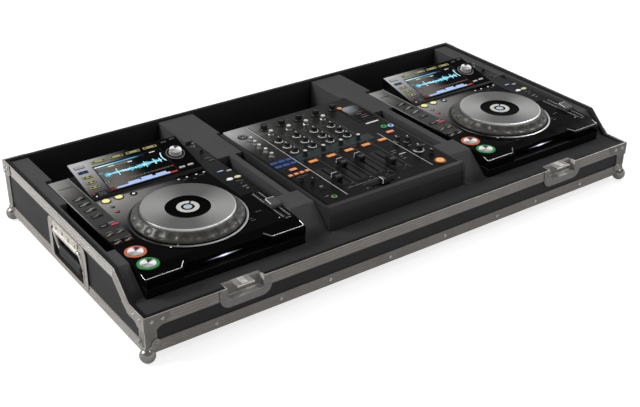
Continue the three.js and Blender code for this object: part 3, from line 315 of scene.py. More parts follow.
def ease(body, width, segments=3, angle=30):
    """Rounds every edge sharper than the angle."""
    return with_modifier(body, "BEVEL", width=width, segments=segments, limit_method="ANGLE",
                         angle_limit=math.radians(angle), miter_outer="MITER_ARC")


def merged_copy(node):
    """A node's solid in millimetres, with its split corners joined and its flat faces whole."""
    body = bmesh.new()
    body.from_mesh(frame["nodes"][node].data)
    bmesh.ops.scale(body, vec=Vector((1 / MM,) * 3), verts=body.verts)
    bmesh.ops.remove_doubles(body, verts=body.verts, dist=0.01)
    bmesh.ops.dissolve_limit(body, angle_limit=math.radians(1), verts=body.verts, edges=body.edges)
    return body


def taken(body, wanted):
    """Takes the faces whose middle passes a test out of the body, and gives them as one of their own."""
    other = body.copy()
    for part, kept in ((body, False), (other, True)):
        gone = [face for face in part.faces if wanted(face.calc_center_median()) != kept]
        bmesh.ops.delete(part, geom=gone, context="FACES")
    return other


class Piece:
    """Collects bodies for one object. They are drawn from its start, which lies in the case's frame."""

    def __init__(self, name, start=(0.0, 0.0, 0.0), origin=None):
        self.name = name
        self.start = Vector(start)
        self.origin = Vector(origin) if origin is not None else Vector(start)
        self.mesh = bmesh.new()
        self.materials = []

    def add(self, body, material, place=None):
        if place is not None:
            body.transform(place if isinstance(place, Matrix) else Matrix.Translation(place))
        if material not in self.materials:
            self.materials.append(material)
        index = self.materials.index(material)
        for face in body.faces:
            face.material_index = index
            face.smooth = True
        mesh = as_mesh(body)
        self.mesh.from_mesh(mesh)
        bpy.data.meshes.remove(mesh)

    def done(self, body, replaces=(), sharp=32):
        shift = Matrix.Translation(self.start - self.origin)
        self.mesh.transform(Matrix.Scale(MM, 4) @ shift)
        mesh = as_mesh(self.mesh, self.name)
        for material in self.materials:
            mesh.materials.append(material)
        mesh.set_sharp_from_angle(angle=math.radians(sharp))
        thing = new_object(self.name, mesh)
        thing.location = self.origin * MM
        modifier = thing.modifiers.new("normals", "WEIGHTED_NORMAL")
        modifier.keep_sharp = True
        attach(thing, body)
        if replaces:
            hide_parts(*replaces)
        return thing


# Materials

def tone(code):
    """Linear colour of a hexadecimal screen colour."""
    parts = [int(code[i:i + 2], 16) / 255 for i in (1, 3, 5)]
    return tuple(p / 12.92 if p <= 0.04045 else ((p + 0.055) / 1.055) ** 2.4 for p in parts) + (1.0,)


def scaled(code, share):
    """A screen colour made darker or paler by a share."""
    return tuple(part * share for part in tone(code)[:3]) + (1.0,)


class Surface:
    """A Principled material with procedural colour, roughness and relief."""

    def __init__(self, name, code, roughness, metallic=0.0, **sockets):
        self.material = bpy.data.materials.new(name)
        self.material.use_nodes = True
        self.tree = self.material.node_tree
        self.shader = self.tree.nodes["Principled BSDF"]
        self.set("Base Color", code)
        self.set("Roughness", roughness)
        self.set("Metallic", metallic)
        for socket, value in sockets.items():
            self.set(socket.replace("_", " "), value)

    def plug(self, socket, value):
        """Links an output to a socket, or sets the socket to a value or to a screen colour."""
        if isinstance(value, bpy.types.NodeSocket):
            self.tree.links.new(value, socket)
        else:
            socket.default_value = tone(value) if isinstance(value, str) else value

    def set(self, socket, value):
        self.plug(self.shader.inputs[socket], value)

    def node(self, kind, settings=None, **inputs):
        node = self.tree.nodes.new(kind)
        for setting, value in (settings or {}).items():
            setattr(node, setting, value)
        for socket, value in inputs.items():
            self.plug(node.inputs[socket.replace("_", " ")], value)
        return node

    def calculate(self, operation, *values, kind="ShaderNodeMath"):
        node = self.node(kind, {"operation": operation})
        for socket, value in zip(node.inputs, values):
            self.plug(socket, value)
        return node.outputs["Value"]

    def coordinates(self, scale=(1, 1, 1)):
        place = self.node("ShaderNodeTexCoord").outputs["Object"]
        return self.node("ShaderNodeMapping", Vector=place, Scale=scale).outputs["Vector"]

    def noise(self, scale, detail=3.0, roughness=0.5, stretch=(1, 1, 1)):
        node = self.node("ShaderNodeTexNoise", {"noise_dimensions": "3D"}, Vector=self.coordinates(stretch),
                         Scale=scale, Detail=detail, Roughness=roughness)
        return node.outputs["Fac"]

    def rings(self):
        """Fine rings about the piece's own upright axis."""
        place = self.node("ShaderNodeSeparateXYZ", Vector=self.coordinates())
        flat = self.node("ShaderNodeCombineXYZ", X=place.outputs["X"], Y=place.outputs["Y"])
        radius = self.calculate("LENGTH", flat.outputs["Vector"], kind="ShaderNodeVectorMath")
        node = self.node("ShaderNodeTexNoise", {"noise_dimensions": "1D"}, W=radius, Scale=2600.0, Detail=2.0)
        return node.outputs["Fac"]

    def ranged(self, value, start, end, low, high, kind):
        node = self.node("ShaderNodeMapRange", {"interpolation_type": kind}, Value=value,
                         From_Min=start, From_Max=end, To_Min=low, To_Max=high)
        return node.outputs["Result"]

    def spread(self, value, low, high, start=0.3, end=0.7):
        """Goes from low to high while the value goes from start to end."""
        return self.ranged(value, start, end, low, high, "LINEAR")

    def blend(self, share, first, second):
        node = self.node("ShaderNodeMix", {"data_type": "RGBA"})
        for socket, value in zip((0, 6, 7), (share, first, second)):
            self.plug(node.inputs[socket], value)
        return node.outputs[2]

    def varied(self, pattern, code, low, high):
        """A screen colour that the pattern scales between two shares."""
        return self.blend(self.spread(pattern, 0, 1), scaled(code, low), scaled(code, high))

    def along(self, axis, start, end):
        """Rises from 0 to 1 between two places along an axis of the piece, in millimetres."""
        place = self.node("ShaderNodeTexCoord").outputs["Object"]
        at = self.node("ShaderNodeSeparateXYZ", Vector=place).outputs[axis]
        return self.ranged(at, start * MM, end * MM, 0.0, 1.0, "SMOOTHSTEP")

    def near(self, spot, reach, stretch=(1, 1, 1)):
        """Falls from 1 at a spot of the piece to 0 at the reach, in millimetres."""
        centre = [part * share * MM for part, share in zip(spot, stretch)]
        away = self.calculate("DISTANCE", self.coordinates(stretch), centre, kind="ShaderNodeVectorMath")
        return self.ranged(away, 0.0, reach * MM, 1.0, 0.0, "SMOOTHSTEP")

    def around(self, count, start, middle=(0.0, 0.0)):
        """Runs from 0 to 1 and back, count times round an upright axis, highest at an angle in degrees."""
        place = self.node("ShaderNodeTexCoord").outputs["Object"]
        parts = self.node("ShaderNodeSeparateXYZ", Vector=place).outputs
        x = self.calculate("SUBTRACT", parts["X"], middle[0] * MM)
        y = self.calculate("SUBTRACT", parts["Y"], middle[1] * MM)
        turn = self.calculate("SUBTRACT", self.calculate("ARCTAN2", y, x), math.radians(start))
        wave = self.calculate("COSINE", self.calculate("MULTIPLY", turn, count))
        return self.calculate("MULTIPLY_ADD", wave, 0.5, 0.5)

    def facing(self, axis, start, end):
        """Rises from 0 to 1 between two shares of the face's direction along an axis of the piece."""
        way = self.node("ShaderNodeTexCoord").outputs["Normal"]
        parts = self.node("ShaderNodeSeparateXYZ", Vector=way)
        return self.spread(parts.outputs[axis], 0, 1, start, end)

    def all_of(self, first, *others):
        """High only where every one of the shares is."""
        for other in others:
            first = self.calculate("MULTIPLY", first, other)
        return first

    def dusted(self, shade, pattern, dark, low, high):
        """Sets the colour, which the pattern darkens a little, and a roughness that follows the pattern."""
        self.set("Base Color", self.blend(self.spread(pattern, 0, dark), shade, BLACK))
        self.set("Roughness", self.spread(pattern, low, high))

    def relief(self, height, strength, depth):
        """Adds relief with its depth in millimetres."""
        bump = self.node("ShaderNodeBump", Height=height, Strength=strength, Distance=depth * MM)
        before = self.shader.inputs["Normal"].links
        if before:
            self.tree.links.new(before[0].from_socket, bump.inputs["Normal"])
        self.set("Normal", bump.outputs["Normal"])


def brushed(name, code, stretch, edge=None):
    """Rolled metal with fine lines along one direction, with painted shade on its front faces and, if given a
    colour, painted light on its upward faces.
    """
    surface = Surface(name, code, 0.48, 0.8)
    lines = surface.noise(1.0, 2.0, stretch=stretch)
    cloud = surface.noise(26.0, 4.0)
    streaked = surface.varied(lines, code, 0.84, 1.1)
    shade = surface.blend(surface.spread(cloud, 0, 0.35, 0.5, 0.75), streaked, scaled(code, 0.68))
    # Painted shade: faces that look to the front are darkened.
    shade = surface.blend(surface.facing("Y", -0.6, -0.9), shade, surface.varied(cloud, code, 0.42, 0.5))
    # Painted light from above: upward faces take the given colour, which brightens the rims' top edges.
    if edge:
        shade = surface.blend(surface.facing("Z", 0.5, 0.85), shade, edge)
    surface.set("Base Color", shade)
    surface.set("Roughness", surface.spread(lines, 0.39, 0.6))
    surface.relief(lines, 0.35, 0.03)
    return surface.material


def pressed(name, code, roughness, metallic=1.0):
    """Zinc plated steel: soft blotches of the plating and light scuffs."""
    surface = Surface(name, code, roughness, metallic)
    blotch = surface.noise(95.0, 4.0)
    surface.set("Base Color", surface.varied(blotch, code, 0.8, 1.12))
    surface.set("Roughness", surface.spread(blotch, roughness - 0.07, roughness + 0.1))
    surface.relief(surface.noise(420.0, 2.0, stretch=(1, 1, 0.35)), 0.25, 0.03)
    return surface.material


def grained(name, code, roughness, grain=2200.0, depth=0.02, specular=0.5, top=None):
    """Laminate, powder coat, print or moulded plastic: an even fine grain under faint clouding."""
    surface = Surface(name, code, roughness, Specular_IOR_Level=specular)
    fine = surface.noise(grain, 2.0)
    cloud = surface.noise(9.0, 4.0)
    speck = surface.varied(fine, code, 0.88, 1.12)
    shade = surface.blend(surface.spread(cloud, 0, 0.4), speck, scaled(code, 1.24))
    if top:
        shade = surface.blend(surface.facing("Z", 0.3, 0.6), shade, top)
    surface.set("Base Color", shade)
    surface.set("Roughness", surface.spread(cloud, roughness - 0.05, roughness + 0.06))
    surface.relief(fine, 0.5, depth)
    return surface.material


def glossy(name, code, roughness, specular=0.5, metallic=0.0):
    """Smooth plastic or lacquer with a slight unevenness and dust-fine variation."""
    surface = Surface(name, code, roughness, metallic, Specular_IOR_Level=specular)
    cloud = surface.noise(30.0)
    surface.set("Base Color", surface.varied(cloud, code, 0.9, 1.12))
    surface.set("Roughness", surface.spread(cloud, roughness - 0.03, roughness + 0.05))
    surface.relief(surface.noise(14.0, 1.0), 0.1, 0.1)
    return surface.material


def lit(name, code, strength):
    """A lamp or a lit field behind clear plastic, faintly uneven."""
    surface = Surface(name, code, 0.25)
    shade = surface.varied(surface.noise(300.0, 2.0), code, 0.85, 1.0)
    surface.set("Base Color", shade)
    surface.set("Emission Color", shade)
    surface.set("Emission Strength", strength)
    return surface.material


def foamed(name, code):
    """Closed-cell foam: fine cells, larger pores, a soft uneven tone, and painted shade on tops that lie low.
    """
    surface = Surface(name, code, 0.95, Specular_IOR_Level=0.15)
    cells = surface.node("ShaderNodeTexVoronoi", {"feature": "F1"},
                         Vector=surface.coordinates(), Scale=900.0).outputs["Distance"]
    pores = surface.noise(430.0, 4.0, 0.65)
    speck = surface.varied(pores, code, 0.72, 1.28)
    shade = surface.blend(surface.spread(surface.noise(7.0), 0, 0.5), speck, scaled(code, 1.3))
    # Painted shade: tops that lie low between the walls are darkened.
    painted_low_shade = surface.all_of(surface.along("Z", 101, 89), surface.facing("Z", 0.3, 0.8))
    surface.set("Base Color", surface.blend(painted_low_shade, shade, scaled(code, 0.6)))
    surface.relief(cells, 0.5, 0.25)
    surface.relief(pores, 0.6, 0.3)
    return surface.material


def sheen(name, dark, bright, roughness, metallic, count, start, low, high, uneven=0.0):
    """Turned metal with painted reflections: its colour runs from dark to bright round the piece's axis, over
    fine rings.
    """
    surface = Surface(name, bright, roughness, metallic)
    sectors = surface.node("ShaderNodeMix", {"data_type": "FLOAT"})
    values = (uneven, surface.around(count, start), surface.around(count + 1, start + 35))
    for socket, value in zip((0, 2, 3), values):
        surface.plug(sectors.inputs[socket], value)
    # Painted reflection: the colour follows the angle round the axis.
    shade = surface.blend(surface.spread(sectors.outputs[0], 0, 1, low, high), dark, bright)
    surface.dusted(shade, surface.rings(), 0.12, roughness - 0.05, roughness + 0.06)
    return surface.material


def spun(name, code, roughness, twist):
    """Turned metal: fine rings about the piece's own axis, with its highlight drawn out round it."""
    surface = Surface(name, code, roughness, 1.0, Anisotropic=twist, Anisotropic_Rotation=0.25)
    rings = surface.rings()
    surface.set("Base Color", surface.varied(rings, code, 0.86, 1.08))
    surface.set("Roughness", surface.spread(rings, roughness - 0.06, roughness + 0.08))
    tangent = surface.node("ShaderNodeTangent", {"direction_type": "RADIAL", "axis": "Z"})
    surface.set("Tangent", tangent.outputs["Tangent"])
    return surface.material


LINES_X, LINES_Y, LINES_Z = (12, 700, 700), (700, 12, 700), (700, 700, 12)

# The rims carry a painted highlight on their tops; all of these carry painted shade on their front faces.
rim_x = brushed("rim_x", "#c9c2bc", LINES_X, "#cfc8c2")
rim_y = brushed("rim_y", "#b4b0ab", LINES_Y, "#e4e0da")
aluminium_x = brushed("aluminium_x", "#c4bdb7", LINES_X, "#b4aea8")
aluminium_y = brushed("aluminium_y", "#b4b0ab", LINES_Y)
aluminium_z = brushed("aluminium_z", "#b4b0ab", LINES_Z)
steel = pressed("zinc_steel", "#b9b7b4", 0.3)
rod_steel = pressed("rod_steel", "#dcd6ce", 0.3, 0.5)
ring_shade = pressed("ring_shade", "#7d756c", 0.5, 0.4)
plate_steel = pressed("plate_steel", "#b4afaa", 0.5, 0.45)
latch_steel = pressed("latch_steel", "#8a8784", 0.5, 0.4)
pocket_steel = pressed("pocket_steel", "#cfccc8", 0.5, 0.3)
dish_shade = pressed("dish_shade", "#3c3936", 0.5, 0.4)
strap_steel = pressed("strap_steel", "#d6d0c8", 0.45, 0.3)
strap_dim = pressed("strap_dim", "#9a9692", 0.45, 0.3)
ball_steel = pressed("ball_steel", "#95938f", 0.2, 0.6)
foam = foamed("foam", "#434344")
laminate = grained("laminate", "#222223", 0.55, 900.0, 0.1, 0.3, "#020202")
rubber = grained("grip_rubber", "#1f2122", 0.6, 700.0, 0.2, 0.4)
satin_black = grained("satin_black", "#0e0e10", 0.38, 2600.0, 0.03, 0.25)
device_shell = grained("device_shell", "#0b0b0c", 0.34, 1600.0, 0.04, 0.12)
mixer_shell = grained("mixer_shell", "#2a2a2b", 0.46, 1600.0, 0.06, 0.3)
knob_black = grained("knob_black", "#101011", 0.4, 1900.0, 0.05, 0.35)
cap_black = grained("cap_black", "#0b0b0c", 0.35, 2200.0, 0.03, 0.3)
cap_grey = grained("cap_grey", "#48484a", 0.45, 1800.0, 0.04, 0.3)
fader_tint = grained("fader_tint", "#161718", 0.4, 2600.0, 0.02, 0.2)
teal_strip = grained("teal_strip", "#26302f", 0.42, 2600.0, 0.02, 0.2)
print_white = grained("print_white", "#e4e4e2", 0.5, depth=0.01)
print_grey = grained("print_grey", "#8b8b8c", 0.5, depth=0.01)
print_dim = grained("print_dim", "#5c5c60", 0.5, depth=0.01)
print_pink = grained("print_pink", "#a08a84", 0.5, depth=0.01)
print_beige = grained("print_beige", "#c4c0ba", 0.5, depth=0.01)
strip_grey = grained("strip_grey", "#4c4c4a", 0.42)
key_grey = grained("key_grey", "#a2a2a2", 0.42)
key_dark = grained("key_dark", "#3a3a3c", 0.42)
key_olive = grained("key_olive", "#98945a", 0.42)
key_navy = grained("key_navy", "#26386e", 0.42)
key_red = grained("key_red", "#b83a46", 0.4)
key_yellow = grained("key_yellow", "#f3eb9c", 0.38)
key_cream = grained("key_cream", "#d8d2a4", 0.4)
key_brown = grained("key_brown", "#6a3a20", 0.42)
key_moss = grained("key_moss", "#6f9a58", 0.42)
silver_trim = glossy("silver_trim", "#c4c4c4", 0.3, 0.5, 0.8)
lever_grey = glossy("lever_grey", "#8c8c88", 0.3, 0.5, 0.2)
warm_silver = glossy("warm_silver", "#8d766a", 0.35, 0.5, 0.2)
pale_silver = glossy("pale_silver", "#d2d0cb", 0.35, 0.5, 0.2)
jog_black = glossy("jog_black", "#010101", 0.14, 0.03)
smoke = glossy("smoked_rim", "#403f3b", 0.36, 0.4)
# Painted reflections round the axis of the jog's top plate and lip, and of the buttons and the selector.
jog_silver = sheen("jog_silver", "#696968", "#aeaead", 0.46, 0.45, 2, -38, 0.1, 1.0)
jog_lip = sheen("jog_lip", "#7c7c7a", "#ffffff", 0.25, 0.4, 1, -80, 0.45, 0.9)
button_metal = sheen("button_metal", "#3e3b38", "#ffffff", 0.3, 0.1, 2, -40, 0.15, 0.7, 0.4)
knob_silver = spun("knob_silver", "#b4b3b1", 0.28, 0.4)
key_orange = lit("key_orange", "#e8944c", 0.18)
key_blue = lit("key_blue", "#2f55a0", 0.12)
key_salmon = lit("key_salmon", "#e8946a", 0.15)
lamp_orange = lit("lamp_orange", "#f0a45c", 0.25)
lamp_green = lit("lamp_green", "#2f9a48", 0.25)
lamp_blue = lit("lamp_blue", "#8fb4e0", 0.25)
lamp_white = lit("lamp_white", "#e6e8ea", 0.2)
ring_orange = lit("ring_orange", "#d2653f", 0.15)
ring_green = lit("ring_green", "#259043", 0.15)
jog_dot = lit("jog_dot", "#a8b8c8", 0.1)
screen_cyan = lit("screen_cyan", "#4cc0de", 0.35)
screen_pale = lit("screen_pale", "#bfeaf4", 0.3)
screen_blue = lit("screen_blue", "#a4bce8", 0.3)
screen_teal = lit("screen_teal", "#5f8a90", 0.1)
screen_olive = lit("screen_olive", "#747460", 0.1)
screen_green = lit("screen_green", "#3f7a3c", 0.1)
screen_red = lit("screen_red", "#c0362c", 0.2)
screen_maroon = lit("screen_maroon", "#76262c", 0.1)


def made_cover_black():
    """Black lacquer with a painted reflection that pales it to silver towards the rear left, and a painted
    glint that glows on its front edge.
    """
    surface = Surface("cover_black", "#060607", 0.1, Specular_IOR_Level=0.06)
    # Painted reflection: the flat top and the display pod pale to silver towards the rear left.
    flat = surface.all_of(surface.along("Y", 140, 300), surface.along("X", 75, -100),
                          surface.along("Z", 77.6, 76.2), surface.along("X", -159.7, -158.6))
    pod = surface.all_of(surface.near((-122, 402, 104), 135), surface.along("Z", 79.5, 82.0),
                         surface.along("X", -118.9, -117.8))
    shade = surface.blend(pod, surface.blend(flat, "#060607", "#9a9897"), "#c4c4c6")
    surface.dusted(shade, surface.noise(30.0), 0.12, 0.08, 0.15)
    # Painted glint: an emission streak on the front of the set-back middle stands in for a highlight.
    glint_place = (-3.0, 12.0, 59.3)
    glow = surface.near(glint_place, 46.0, (1, 1, 22))
    glint_core = surface.near(glint_place, 16.0, (1, 1, 5))
    surface.set("Emission Color", (0.78, 0.8, 1.0, 1.0))
    surface.set("Emission Strength", surface.calculate("MULTIPLY_ADD", glow, glow, glint_core))
    surface.relief(surface.noise(14.0, 1.0), 0.1, 0.1)
    return surface.material


def made_ring_metal():
    """Trim ring round the jog wheel, with a painted highlight on one side and dark elsewhere."""
    surface = Surface("ring_metal", "#a8a8a8", 0.34, 0.7)
    # Painted highlight: bright only round one angle of the ring.
    bright = surface.spread(surface.around(1, -62, (0, JOG_Y)), 0, 1, 0.55, 0.95)
    surface.dusted(surface.blend(bright, "#3a3a3b", "#f2f2f2"), surface.noise(60.0), 0.15, 0.3, 0.38)
    return surface.material


def plated(surface, shade, dark, roughness):
    """Finishes a panel's face with the fine grain of its coat."""
    grain = surface.noise(2600.0, 2.0)
    surface.dusted(shade, grain, dark, roughness, roughness + 0.12)
    surface.relief(grain, 0.4, 0.03)
    return surface.material


def made_column_face():
    """Dark grey plate of the player's left column, with a painted sheen that pales it towards the rear and a
    painted reflection that makes it silvery at its rear outer end.
    """
    surface = Surface("column_face", "#3c3c3c", 0.36, Specular_IOR_Level=0.3)
    # Painted sheen towards the rear, and a painted reflection at the rear outer end.
    length = surface.blend(surface.along("Y", 120, 330), "#292929", "#403f3e")
    shade = surface.blend(surface.near((-165, 405, 75), 110), length, "#9a9a96")
    return plated(surface, shade, 0.14, 0.32)


def made_mixer_plate():
    """Black panel of the mixer, with a painted sheen that pales it towards its rear and a painted reflection
    that makes it silvery at its rear left corner.
    """
    surface = Surface("mixer_plate", "#0e0e0f", 0.3, Specular_IOR_Level=0.1)
    # Painted sheen towards the rear, and a painted reflection at the rear left corner.
    rear = surface.all_of(surface.along("Y", 120, 340), surface.along("X", 190, -60))
    length = surface.blend(rear, "#0b0b0c", "#2c2c2a")
    shade = surface.blend(surface.near((-175, 398, 81), 135), length, "#b6b6b6")
    return plated(surface, shade, 0.14, 0.3)


def made_side_face():
    """Dark grey plate beside the tempo slider's slot, with a painted sheen that pales it towards the rear."""
    surface = Surface("side_face", "#0c0c0d", 0.3, Specular_IOR_Level=0.08)
    # Painted sheen: paler towards the rear.
    length = surface.blend(surface.along("Y", 160, 380), "#070708", "#2a2a2b")
    return plated(surface, length, 0.2, 0.32)


def made_screen_face():
    """Glass of the player's display, black at its right, with a painted reflection that makes it greyish at
    its left.
    """
    surface = Surface("screen_face", "#08080a", 0.12, Specular_IOR_Level=0.1)
    # Painted reflection: greyish towards the left of the glass.
    shade = surface.blend(surface.along("X", 14, -50), "#060608", "#6c6866")
    surface.dusted(shade, surface.noise(60.0), 0.18, 0.1, 0.18)
    return surface.material


def made_display_face():
    """Glass of the mixer's display, dark, with a painted reflection that makes it pale at its rear outer
    corner.
    """
    surface = Surface("display_face", "#0a0b0d", 0.14, Specular_IOR_Level=0.1)
    # Painted reflection: a pale spot at the rear outer corner of the glass.
    shade = surface.blend(surface.near((112, 350, 81), 52), "#0a0b0d", "#a4a8ae")
    surface.dusted(shade, surface.noise(60.0), 0.15, 0.1, 0.18)
    return surface.material


def made_screen_bar():
    """The long field on top of the display, pale at its left and navy at its right end."""
    surface = Surface("screen_bar", "#5aa0d0", 0.25)
    shade = surface.blend(surface.along("X", -66, -20), "#b8f0f6", "#4f9ccc")
    shade = surface.blend(surface.along("X", 4, 22), shade, "#141c48")
    shade = surface.blend(surface.spread(surface.noise(300.0, 2.0), 0, 0.15), shade, BLACK)
    surface.set("Base Color", shade)
    surface.set("Emission Color", shade)
    surface.set("Emission Strength", 0.3)
    return surface.material


cover_black = made_cover_black()
ring_metal = made_ring_metal()
column_face = made_column_face()
mixer_plate = made_mixer_plate()
screen_face = made_screen_face()
display_face = made_display_face()
screen_bar = made_screen_bar()
side_face = made_side_face()


# Camera, floor and light

CAMERA_LENS = 61.154
CAMERA_PLACE = (-1.189645, -1.625004, 1.100572)
CAMERA_RIGHT = (0.8140865337, -0.5806827306, 0.0084072603)
CAMERA_UP = (0.2753130448, 0.3986400281, 0.8748078963)
CAMERA_BACK = (-0.5113373084, -0.7098546995, 0.4843970093)
FLOOR_REACH = 14.0
FLOOR_GLOW = (("Is Camera Ray", 0.76), ("Is Transmission Ray", 0.76), ("Is Glossy Ray", 0.22))


def make_camera():
    """The camera that was fitted to the photograph."""
    data = bpy.data.cameras.new("camera")
    data.sensor_width = 36.0
    data.lens = CAMERA_LENS
    data.clip_start = 0.05
    data.clip_end = 60.0
    camera = new_object("camera", data)
    turn = Matrix((CAMERA_RIGHT, CAMERA_UP, CAMERA_BACK)).transposed().to_4x4()
    camera.matrix_world = Matrix.Translation(CAMERA_PLACE) @ turn
    bpy.context.scene.camera = camera


def make_floor():
    """A floor that is white to the camera, dim in mirrors and grey in what it gives back."""
    surface = Surface("floor", "#b4b4b4", 0.9, Specular_IOR_Level=0.1)
    surface.set("Base Color", surface.blend(surface.spread(surface.noise(3.0), 0, 1), "#b2b2b2", "#b6b6b6"))
    rays = surface.node("ShaderNodeLightPath").outputs
    seen = 0.0
    for ray, share in FLOOR_GLOW:
        seen = surface.calculate("MAXIMUM", seen, surface.calculate("MULTIPLY", rays[ray], share))
    glow = surface.node("ShaderNodeEmission", Strength=seen)
    both = surface.node("ShaderNodeAddShader")
    for socket, shader in zip(both.inputs, (surface.shader, glow)):
        surface.plug(socket, shader.outputs[0])
    surface.plug(surface.tree.nodes["Material Output"].inputs["Surface"], both.outputs[0])
    mesh = bpy.data.meshes.new("floor")
    corners = [(x * FLOOR_REACH, y * FLOOR_REACH, 0) for x, y in ((-1, -1), (1, -1), (1, 1), (-1, 1))]
    mesh.from_pydata(corners, [], [(0, 1, 2, 3)])
    mesh.materials.append(surface.material)
    new_object("floor", mesh)


def make_world():
    """A studio that is white round the horizon and dim above it."""
    world = bpy.data.worlds.new("studio")
    world.use_nodes = True
    bpy.context.scene.world = world
    tree = world.node_tree
    place = tree.nodes.new("ShaderNodeTexCoord")
    parts = tree.nodes.new("ShaderNodeSeparateXYZ")
    tree.links.new(place.outputs["Generated"], parts.inputs[0])
    level = tree.nodes.new("ShaderNodeMapRange")
    level.interpolation_type = "SMOOTHSTEP"
    for socket, value in (("From Min", 0.2), ("From Max", 0.42), ("To Min", 1.0), ("To Max", 0.16)):
        level.inputs[socket].default_value = value
    tree.links.new(parts.outputs["Z"], level.inputs["Value"])
    tree.links.new(level.outputs["Result"], tree.nodes["Background"].inputs["Strength"])
    tree.nodes["Background"].inputs["Color"].default_value = (1, 1, 1, 1)


def make_lamp(name, place, size, power):
    """A square lamp that looks at the middle of the case."""
    data = bpy.data.lights.new(name, "AREA")
    data.shape = "RECTANGLE"
    data.size, data.size_y = size, size
    data.energy = power
    lamp = new_object(name, data)
    lamp.location = place
    lamp.rotation_mode = "QUATERNION"
    lamp.rotation_quaternion = (Vector((0.0, 0.0, 0.06)) - Vector(place)).to_track_quat("-Z", "Y")


bpy.context.scene.view_settings.view_transform = "Standard"
make_camera()
make_floor()
make_world()
make_lamp("key", (-2.6, 1.5, 2.2), 1.6, 102.0)
make_lamp("side", (2.27, 0.13, 2.24), 0.9, 34.0)
make_lamp("top", (0.8, -1.0, 2.7), 0.7, 13.0)


# Case

def dress(node, material, width=0.35):
    """Keeps a node's solid, joins its split corners, rounds its edges and gives it a material."""
    thing = frame["nodes"][node]
    thing.data.materials.clear()
    thing.data.materials.append(material)
    weld = thing.modifiers.new("weld", "WELD")
    weld.merge_threshold = 0.01 * MM
    flat = thing.modifiers.new("flat", "DECIMATE")
    flat.decimate_type = "DISSOLVE"
    flat.angle_limit = math.radians(1)
    edge = thing.modifiers.new("edge", "BEVEL")
    edge.width = width * MM
    edge.segments = 2
    edge.limit_method = "ANGLE"
    edge.angle_limit = math.radians(30)
    edge.harden_normals = True


for panel in ("base_panel", "front_panel", "rear_panel", "left_side_panel", "right_side_panel"):
    dress(panel, laminate, 0.5)
for rail in ("front_bottom_profile", "rear_bottom_profile"):
    dress(rail, aluminium_x)
for rail in ("front_rim_left", "front_rim_middle", "front_rim_right", "rear_rim"):
    dress(rail, rim_x)
for side in SIDES:
    dress(f"{side}_bottom_profile", aluminium_y)
    dress(f"{side}_side_rim", rim_y)
    dress(f"{side}_front_corner_post", aluminium_z)
    dress(f"{side}_rear_corner_post", aluminium_z)


def dome(radius=RIVET_RADIUS, height=2.1):
    """A rivet head on a face at height 0, with its foot sunk in."""
    foot, lift = -0.6, 0.25
    crown = [(x, lift + y * height / radius) for x, y in arc((0.0, 0.0), radius, 0, 90, 10)[1:-1]]
    return lathe([(radius * 0.6, foot), (radius, foot), (radius, lift), *crown, (0, lift + height)], 20)


def on_front(u, v, out, sign=-1):
    """Place on the front (sign -1) or rear face, with Z pointing out of it."""
    turn = Matrix.Rotation(math.radians(-90 * sign), 4, "X")
    return Matrix.Translation((u, sign * (HALF_DEPTH + out), v)) @ turn


def on_side(y, v, out, sign=-1):
    """Place on the left (sign -1) or right face, with Z pointing out of it."""
    turn = Matrix.Rotation(math.radians(90 * sign), 4, "Y")
    return Matrix.Translation((sign * (HALF_WIDTH + out), y, v)) @ turn


def case_rivets():
    """Rivets along the bottom profiles and on the braces of the upper corners."""
    piece = Piece("case_rivets")
    for sign in (-1, 1):
        for share in (0.117, 0.356, 0.541, 0.769):
            for x in (-share * HALF_WIDTH, share * HALF_WIDTH):
                piece.add(dome(), steel, on_front(x, CASE_Z + LEG / 2, 0.0, sign))
    brace_out = PLATE_OUT + SHEET
    for side in SIDES.values():
        for along in (13.0, 33.0):
            x = side * (HALF_WIDTH - along)
            piece.add(dome(), steel, on_front(x, FRONT_RIM - 9.5, brace_out))
            piece.add(dome(), steel, on_front(x, REAR_RIM - 9.5, brace_out, 1))
            piece.add(dome(), steel, on_side(-HALF_DEPTH + along, FRONT_RIM - 9.5, brace_out, side))
        for along, drop in ((9.5, 9.5), (22.5, 9.5), (9.5, 20.0)):
            piece.add(dome(), steel, on_side(HALF_DEPTH - along, REAR_RIM - drop, brace_out, side))
    piece.done("case")


PETAL_REACH, PETAL_RADIUS, PETAL_ROOT = 19.0, 8.0, 14.0
BALL_RADIUS = 14.0


def petal_outline(steps=10):
    """One petal of a ball corner, from the corner along its two edges."""
    reach, root = PETAL_REACH, PETAL_ROOT
    hip = reach - PETAL_RADIUS
    first = bow(Vector((root, 0)), Vector((root, hip * 0.7)), Vector((reach, hip)), steps)
    turn = arc((reach, reach), PETAL_RADIUS, -90, 180, 2 * steps)[1:-1]
    last = bow(Vector((hip, reach)), Vector((hip * 0.7, root)), Vector((0, root)), steps)
    return [(0.0, 0.0), *first, *turn, *last]


def put(piece, body, material, place):
    """Adds a body at a place that may mirror it."""
    body.transform(place)
    if place.determinant() < 0:
        bmesh.ops.reverse_faces(body, faces=body.faces[:])
    piece.add(body, material)


